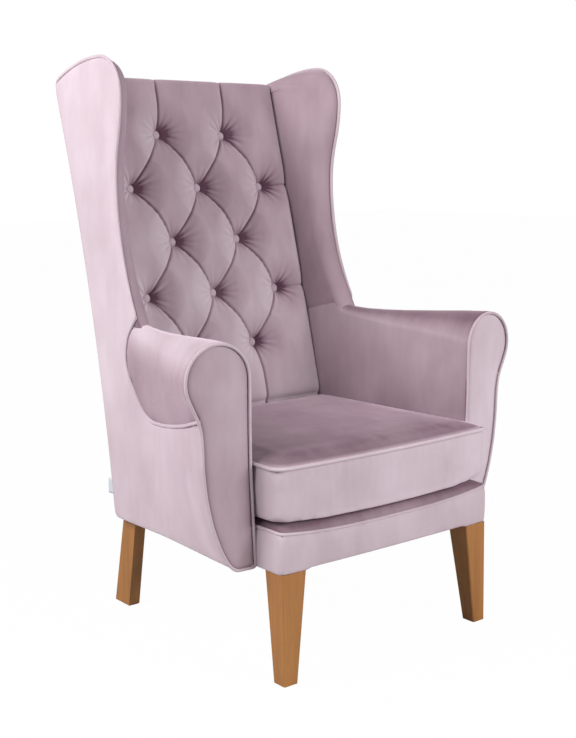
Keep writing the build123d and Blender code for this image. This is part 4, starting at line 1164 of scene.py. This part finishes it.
cushion.data.shade_smooth()
cushion.data.materials.clear()
cushion.data.materials.append(velvet)
cushion_points = np.empty(len(cushion.data.vertices) * 3)
cushion.data.vertices.foreach_get("co", cushion_points)
painted_light_layer = cushion.data.attributes.new("nap", "FLOAT", "POINT")
cushion_painted_light = cushion_painted_light_and_shade(cushion_points.reshape(-1, 3) / MM)
painted_light_layer.data.foreach_set("value", cushion_painted_light.astype(np.float32))
settle(cushion, "seat_cushion", body="cushion")
seam_plan = cushion_plan(3.0, CUSHION_SEAM_Z)
seam_path = np.column_stack([seam_plan, np.full(len(seam_plan), CUSHION_SEAM_Z)])
make_welt("cushion_welt_cord", seam_path, "cushion_welt", body="cushion", closed=True, nap=0.80, radius=3.2)

# %% [markdown]
# Deep buttoning gives the back its look. Each button pulls the padding down into a pit, and the
# spare cloth folds into thin pleats that run from button to button. Between them the padding stands
# full. A cloth simulation would have to find all these folds by itself. Here they are known, so all
# of this is a depth below the full surface: a fine grid is moved by a function of the distance to
# the nearest button and the nearest pleat. Short creases fan out from each button.

# %% Buttons and pleats
PIT_REACH, PIT_POWER = 72.0, 0.86
FOLD_DEPTH, FOLD_WIDTH, VALLEY_DEPTH, VALLEY_WIDTH = 5.0, 1.8, 2.2, 16.0
FAN_HEIGHT, FAN_CREASES = 1.7, 15


def up_face(z):
    """Distance up the back's face from the seat for a height."""
    return (z - BACK_FOOT_Z) / cos(RECLINE)


button_places = []
for row in range(BUTTON_ROWS):
    across = (-0.5, 0.5) if row % 2 == 0 else (-1.0, 0.0, 1.0)
    row_height = up_face(TOP_BUTTON_Z - row * BUTTON_PITCH)
    button_places += [(share * BUTTON_SPACING, row_height) for share in across]
button_places = np.array(button_places)
ROW_STEP = BUTTON_PITCH / cos(RECLINE)
FACE_TOP = up_face(BACK_HEIGHT)


def pleat_lines():
    """The folds, as straight lines on the back's face."""
    lines = []
    for first in button_places:
        for second in button_places:
            gap = second - first
            if abs(abs(gap[0]) - BUTTON_SPACING / 2) < 1 and abs(gap[1] + ROW_STEP) < 1:
                lines.append((first, second))
    for x, s in button_places:
        if s > button_places[0, 1] - 1:
            lines.append(((x, s), (x, FACE_TOP + 60.0)))
        if s < button_places[-1, 1] + 1:
            lines.append(((x, s), (x + 6.0 * np.sign(x), up_face(300.0))))
        if abs(x) > BUTTON_SPACING * 0.9:
            lines.append(((x, s), (x * 1.6, s)))
    return np.array(lines, float)


def pleat_gap(points):
    """How far points of the back's face lie from the nearest pleat."""
    nearest = np.full(len(points), np.inf)
    for first, second in pleat_lines():
        run = second - first
        share = np.clip((points - first) @ run / (run @ run), 0, 1)
        nearest = np.minimum(nearest, np.linalg.norm(points - first - share[:, None] * run, axis=1))
    return nearest


def tufted_depth(points):
    """How deep the buttoned surface lies below its full height."""
    pit, crease_fan = np.zeros(len(points)), np.zeros(len(points))
    for order, button in enumerate(button_places):
        away = points - button
        gap = np.linalg.norm(away, axis=1)
        slope = np.clip(1 - (gap - BUTTON_RADIUS * 0.8) / PIT_REACH, 0, 1)
        pit = np.maximum(pit, TUFT_DEPTH * (1 - np.sqrt(1 - slope ** 2)) ** PIT_POWER)
        angle = np.arctan2(away[:, 1], away[:, 0])
        fan = np.cos(FAN_CREASES * angle + 1.7 * order) * np.abs(np.cos(angle)) ** 1.2
        spread = np.clip((gap - 10.0) / 8.0, 0, 1) * np.exp(-((gap - 18.0) / 26.0) ** 2)
        crease_fan += FAN_HEIGHT * fan * spread * (0.65 + 0.35 * np.cos(4 * angle + 2.3 * order))
    gap = pleat_gap(points)
    fold = FOLD_DEPTH * np.exp(-gap / FOLD_WIDTH) + VALLEY_DEPTH * np.exp(-(gap / VALLEY_WIDTH) ** 2)
    return pit + fold * (1 - 0.5 * pit / TUFT_DEPTH) + crease_fan


print("buttons:", len(button_places), "pleats:", len(pleat_lines()))

# %% [markdown]
# The buttoned surface runs up the face, over a soft top edge and down to the outside back. It also
# dips where it meets the wings and the cushion.

# %% Back surface
BACK_START_Z, BACK_CROWN, BACK_PUFF = 302.0, 4.0, 3.0
TOP_EDGE, TOP_FALL = 18.0, np.array([(20.0, -3.5), (66.0, -15.0)])
TOP_REAR = [(378.0, 1093.0), (378.5, 1084.0)]
SIDE_DIP, SIDE_WIDTH, SEAT_DIP, SEAT_WIDTH = 12.0, 6.0, 11.0, 7.0


def back_profile():
    """The back's section (Y, Z): up the face, round the top edge and back to the outside back."""
    top = np.array([back_y(BACK_HEIGHT), BACK_HEIGHT + BACK_CROWN])
    face_end = top - TOP_EDGE * np.array([sin(RECLINE), cos(RECLINE)])
    face = np.linspace((back_y(BACK_START_Z), BACK_START_Z), face_end, 360)
    return soften(resample(np.concatenate([face, [top], top + TOP_FALL, TOP_REAR]), 440), 20)


def face_points(x):
    """Points of a grid in the back's own measures: across and up the face."""
    run = along(back_profile()) + up_face(BACK_START_Z)
    return np.stack([x, np.broadcast_to(run[:, None], x.shape)], axis=-1)


def back_grid():
    """The buttoned surface as a fine grid."""
    profile = back_profile()
    outward = left_of(profile)
    shares = np.linspace(-1, 1, 261)
    half = inner_x(profile[:, 0]) - 0.4
    x = half[:, None] * shares[None, :]
    points = face_points(x)
    s = points[..., 1]
    over_top = np.clip((s - FACE_TOP + 20.0) / 40.0, 0, 1)
    depth = tufted_depth(points.reshape(-1, 2)).reshape(x.shape) * (1 - over_top)
    side_gap = half[:, None] * (1 - np.abs(shares))[None, :]
    depth += SIDE_DIP * np.exp(-side_gap / SIDE_WIDTH) * (1 - 0.6 * over_top)
    above_seat = np.maximum(s - up_face(CUSHION_SEAM_Z + 8.0), 0)
    depth += SEAT_DIP * np.exp(-above_seat / SEAT_WIDTH)
    puff = BACK_PUFF * np.sin(np.clip(s / FACE_TOP, 0, 1) * pi)
    sunk = depth - puff * np.exp(-depth / 12.0)
    y = profile[:, None, 0] - outward[:, None, 0] * sunk
    z = profile[:, None, 1] - outward[:, None, 1] * sunk
    return np.stack([x, y, z], axis=-1)


print("back profile:", round(along(back_profile())[-1]), "mm long")

# %% [markdown]
# The surface becomes a closed pad: its rim is carried straight back and capped. Painted shade lies
# in the pleats and on the right of each button, where the back's darkest spots are.

# %% Inside back
BACK_DEPTH = 41.0


def close_behind(piece, depth):
    """Carry a sheet's rim straight back and close it with one flat face."""
    shape = bmesh.new()
    shape.from_mesh(piece.data)
    rim = [edge for edge in shape.edges if edge.is_boundary]
    walls = bmesh.ops.extrude_edge_only(shape, edges=rim)["geom"]
    carried = [item for item in walls if isinstance(item, bmesh.types.BMVert)]
    for vert in carried:
        vert.co.y = back_y(vert.co.z / MM, depth) * MM
    last = [item for item in walls if isinstance(item, bmesh.types.BMEdge) and item.is_boundary]
    bmesh.ops.contextual_create(shape, geom=last)
    bmesh.ops.recalc_face_normals(shape, faces=shape.faces)
    shape.to_mesh(piece.data)
    shape.free()


def painted_shade_beside_button(points):
    """How near points lie to a button, on its right, where painted shade is laid."""
    nearest = np.zeros(len(points))
    for button in button_places:
        away = points - button
        gap = np.linalg.norm(away, axis=1)
        to_right = 0.5 + 0.5 * away[:, 0] / np.maximum(gap, 1.0)
        nearest = np.maximum(nearest, to_right * np.exp(-((gap - BUTTON_RADIUS) / 13.0) ** 2))
    return nearest


def back_painted_shade(grid):
    """Painted shade on the back: deeper on walls that face left, in the pleats and beside the buttons."""
    normal = np.cross(np.gradient(grid, axis=1), np.gradient(grid, axis=0))
    normal /= np.maximum(np.linalg.norm(normal, axis=2), 1e-9)[..., None]
    # Walls that face left get painted shade, and the tone is paler low on the back.
    tone = np.interp(grid[..., 2], [420.0, 620.0, 1060.0], [0.70, 0.63, 0.45]) + 0.6 * normal[..., 0]
    points = face_points(grid[..., 0])
    flat = points.reshape(-1, 2)
    pleat_shade = np.exp(-pleat_gap(flat).reshape(tone.shape) / 1.4) * (points[..., 1] < FACE_TOP)
    return np.clip(tone - 0.30 * pleat_shade - 0.40 * painted_shade_beside_button(flat).reshape(tone.shape), 0.0, 0.95)


back = grid_mesh("back_pad_cover", [back_grid()], (0, -1, 0.2), nap=back_painted_shade)
close_behind(back, BACK_DEPTH)
settle(back, "back_pad")
print("back:", len(back.data.polygons), "faces")

# %% [markdown]
# The buttons are covered in the same velvet: a low dome with its cloth gathered at the rim. One
# form is repeated at every button place, which is what Geometry Nodes instances are for.

# %% Covered buttons
BUTTON_PROFILE = [(0.0, 6.8), (3.0, 6.5), (5.8, 5.6), (8.1, 4.1), (9.6, 2.3), (10.2, 0.6), (9.6, -2.0)]
GATHERS, GATHER_DEPTH = 8, 0.018


def button_rings():
    """Rings of one covered button that faces +Z, with small gathers at its rim."""
    turns = np.linspace(0, 2 * pi, 33)[:-1]
    rings = []
    for reach, height in BUTTON_PROFILE:
        out = reach * (1 + GATHER_DEPTH * np.cos(GATHERS * turns) * (reach / BUTTON_RADIUS) ** 2)
        rings.append(np.column_stack([out * np.cos(turns), out * np.sin(turns), np.full(32, height)]))
    return rings


def make_button_tree():
    """Puts a form on every point, turned by one angle."""
    inputs = {"Places": "Geometry", "Form": "Object", "Tilt": "Float", "Nap": "Float", "Cloth": "Material"}
    tree, start, end = start_tree("buttons_on_points", inputs, "Buttons")
    form = tree.nodes.new("GeometryNodeObjectInfo")
    turn = tree.nodes.new("ShaderNodeCombineXYZ")
    spread = tree.nodes.new("GeometryNodeInstanceOnPoints")
    real = tree.nodes.new("GeometryNodeRealizeInstances")
    tone = add_node(tree, "GeometryNodeStoreNamedAttribute", Name="nap")
    cover = tree.nodes.new("GeometryNodeSetMaterial")
    join_nodes(
        tree,
        (start, "Places", spread, "Points"),
        (start, "Form", form, "Object"),
        (form, "Geometry", spread, "Instance"),
        (start, "Tilt", turn, "X"),
        (turn, "Vector", spread, "Rotation"),
        (spread, "Instances", real, "Geometry"),
        (real, "Geometry", tone, "Geometry"),
        (start, "Nap", tone, "Value"),
        (tone, "Geometry", cover, "Geometry"),
        (start, "Cloth", cover, "Material"),
        (cover, "Geometry", end, "Buttons"),
    )
    return tree


def on_face(x, s, depth):
    """A point of the back from its face's own measures."""
    y = BACK_FOOT_Y + s * sin(RECLINE) + depth * cos(RECLINE)
    z = BACK_FOOT_Z + s * cos(RECLINE) - depth * sin(RECLINE)
    return np.array([x, y, z])


form = ring_mesh("button_form", button_rings())
places = bpy.data.meshes.new("back_buttons_covered")
places.from_pydata([(on_face(x, s, TUFT_DEPTH - 0.5) * MM).tolist() for x, s in button_places], [], [])
buttons = add_object("back_buttons_covered", places)
button_inputs = {"Form": form, "Tilt": pi / 2 - RECLINE, "Nap": 0.66, "Cloth": velvet}
run_tree(buttons, make_button_tree(), button_inputs)
buttons.data.shade_smooth()
bpy.data.objects.remove(form)
settle(buttons, "back_buttons")
print("buttons covered:", len(button_places))

# %% [markdown]
# The outside back is one plain panel, pulled tight over a hollow frame, so it sinks a little at its
# edges. It is a simple grid down the rear line, with its hem turned under.

# %% Outside back
OUTSIDE_TOP, OUTSIDE_ROWS = 1092.0, 90
OUTSIDE_HEM = [(0.4, -1.2), (0.0, -4.5), (5.0, -8.5)]


def outside_back_grid():
    """Rows down the rear line, from the top edge to the turned hem."""
    hem = hem_z(REAR_FOOT_Y)
    levels = [(z, 0.0) for z in np.linspace(OUTSIDE_TOP, hem + 3.0, OUTSIDE_ROWS)]
    levels += [(hem + rise, back) for rise, back in OUTSIDE_HEM]
    shares = 2 * eased(70) - 1
    rows = []
    for z, back in levels:
        y = rear_y(z)
        half = side_x(y) - 0.8
        gap = half * (1 - np.abs(shares))
        soft = -4.5 * np.exp(-gap / 3.5) - 4.0 * np.exp(-(OUTSIDE_TOP - z) / 5.0)
        rows.append(np.column_stack([shares * half, y + soft + back, z + corner_rise(gap, z)]))
    return np.stack(rows)


outside = thicken(grid_mesh("outside_back_cover", [outside_back_grid()], (0, 1, 0), nap=0.70), 3.0)
settle(outside, "outside_back")
print("outside back:", len(outside.data.polygons), "faces")

# %% [markdown]
# Under the seat a black lining is stapled across the box to keep dust out. It hangs a few
# millimetres between the rails. The legs pass it at the corners, where it is cut back. It is pulled
# tight, so a shallow sag stands in for a simulation.

# %% Dust cover
LINING_SAG, LEG_CLEARANCE = 3.0, 0.004


def dust_cover_grid():
    """A lining that sags slightly in the middle."""
    low, high = (np.array(corner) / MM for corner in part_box("dust_cover"))
    columns = np.linspace(low[0], high[0], 61)
    rows = np.linspace(low[1], high[1], 61)
    x, y = np.meshgrid(columns, rows)
    across = 1 - (2 * (x - low[0]) / (high[0] - low[0]) - 1) ** 2
    deep = 1 - (2 * (y - low[1]) / (high[1] - low[1]) - 1) ** 2
    return np.stack([x, y, low[2] + 0.5 - LINING_SAG * across * deep], axis=-1)


def over_leg(face, leg_boxes):
    """Whether a face lies over one of the legs."""
    middle = face.calc_center_median()
    return any(low[0] - LEG_CLEARANCE < middle.x < high[0] + LEG_CLEARANCE
               and low[1] - LEG_CLEARANCE < middle.y < high[1] + LEG_CLEARANCE for low, high in leg_boxes)


dust = grid_mesh("dust_cover_lining", [dust_cover_grid()], (0, 0, -1), nap=0.5, material=lining)
leg_boxes = [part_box(f"{end}_leg_{side}") for end in ("front", "rear") for side in ("left", "right")]
cut = bmesh.new()
cut.from_mesh(dust.data)
bmesh.ops.delete(cut, geom=[face for face in cut.faces if over_leg(face, leg_boxes)], context="FACES")
lining_area = sum(face.calc_area() for face in cut.faces)
cut.to_mesh(dust.data)
cut.free()
thicken(dust, 0.8)
settle(dust, "dust_cover")
print("lining area:", round(lining_area, 3), "square metres")

# %% [markdown]
# A small tag is sewn into the left rear seam. On this chair it stays blank: a folded strip of white
# tape that curls a little away from the panel.

# %% Seam tag
TAG_IN_SEAM = 3.0


def tag_grid():
    """A short strip of tape that leaves the seam and curls."""
    low, high = (np.array(corner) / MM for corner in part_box("seam_tag"))
    rows = []
    for z in np.linspace(low[2], high[2], 9):
        out = np.linspace(-TAG_IN_SEAM, high[1] - low[1], 12)
        curl = 0.006 * np.maximum(out, 0) ** 2
        rows.append(np.column_stack([low[0] - curl, low[1] + out, np.full(12, z)]))
    return np.stack(rows)


tag = thicken(grid_mesh("seam_tag_tape", [tag_grid()], (-1, 0, 0), material=tape), 0.7)
settle(tag, "seam_tag")

# %% [markdown]
# The photograph is a plain product shot. The camera repeats its angle: to the chair's left and a
# little above the arms.

# %% Camera
def add_camera():
    """The camera at the photograph's viewing angle."""
    lens = bpy.data.cameras.new("photo_camera")
    lens.lens, lens.sensor_width = 59.58, 36.0
    camera = add_object("photo_camera", lens)
    camera.location = (-1.581, -1.9985, 0.945)
    camera.rotation_euler = (radians(90 - 9.74), 0, radians(-39.19))
    bpy.context.scene.camera = camera


add_camera()
print("camera set")

# %% [markdown]
# The background is plain white. A white world alone would light the chair flat from all sides, so the
# camera sees full white while the chair gets a dimmer world. The floor looks nearly white and still
# takes a faint shadow.

# %% White studio
FLOOR_WHITE = 0.985


def mix_shaders(tree, share, first, second):
    """Blend two shaders by a share."""
    mix = tree.nodes.new("ShaderNodeMixShader")
    for socket, source in zip(mix.inputs, (share, first, second)):
        tree.links.new(source, socket)
    return mix.outputs[0]


def white_behind(tree, lit, shown):
    """Show plain white to the camera and to reflections, and light the chair with something else."""
    path = tree.nodes.new("ShaderNodeLightPath")
    seen = maths(tree, "MAXIMUM", path.outputs["Is Camera Ray"], path.outputs["Is Glossy Ray"])
    seen = maths(tree, "MAXIMUM", seen, path.outputs["Is Transmission Ray"])
    return mix_shaders(tree, seen, lit, shown)


def set_world():
    """A white studio: white to look at, dimmer as a light."""
    world = bpy.data.worlds.new("white_studio")
    world.use_nodes = True
    tree = world.node_tree
    tree.nodes.clear()
    light = add_node(tree, "ShaderNodeBackground", Color=(1, 1, 1, 1), Strength=0.22)
    white = add_node(tree, "ShaderNodeBackground", Color=(1, 1, 1, 1), Strength=1.0)
    output = tree.nodes.new("ShaderNodeOutputWorld")
    surface = white_behind(tree, light.outputs[0], white.outputs[0])
    tree.links.new(surface, output.inputs["Surface"])
    bpy.context.scene.world = world


def add_floor():
    """A wide pale floor that looks nearly white and keeps the chair's shadow."""
    bpy.ops.mesh.primitive_plane_add(size=30.0, location=(0, 0, -0.0005))
    floor = bpy.context.object
    floor.name = "studio_floor"
    material, tree, shader = start_material("pale_floor")
    fill_inputs(shader, {"Base Color": (0.5, 0.5, 0.5, 1), "Roughness": 0.9})
    glow = add_node(tree, "ShaderNodeEmission", Color=(1, 1, 1, 1), Strength=1.0)
    path = tree.nodes.new("ShaderNodeLightPath")
    share = maths(tree, "MULTIPLY", path.outputs["Is Camera Ray"], FLOOR_WHITE)
    surface = mix_shaders(tree, share, shader.outputs["BSDF"], glow.outputs[0])
    output = next(node for node in tree.nodes if node.type == "OUTPUT_MATERIAL")
    tree.links.new(surface, output.inputs["Surface"])
    floor.data.materials.append(material)


add_floor()
set_world()
print("floor and world set")

# %% [markdown]
# Two large soft lights of nearly the same power stand on the left and in front, and the white world
# fills the shadows. A small lamp would draw hard edges, which the photograph doesn't have.

# %% Lights
def add_area_light(name, place, target, size, power):
    """A square soft light that looks at a target."""
    lamp = bpy.data.lights.new(name, "AREA")
    lamp.shape, lamp.size, lamp.energy = "SQUARE", size, power
    light = add_object(name, lamp)
    light.location = place
    aim = np.array(target) - np.array(place)
    light.rotation_euler = (atan2(np.hypot(aim[0], aim[1]), -aim[2]), 0, atan2(aim[1], aim[0]) - pi / 2)


add_area_light("left_softbox", (-2.3, 0.3, 2.1), (0, 0, 0.75), 1.5, 102.0)
add_area_light("front_softbox", (0.7, -3.0, 1.7), (0, 0, 0.6), 1.6, 94.0)
bpy.context.scene.view_settings.view_transform = "Standard"
print("lights set")
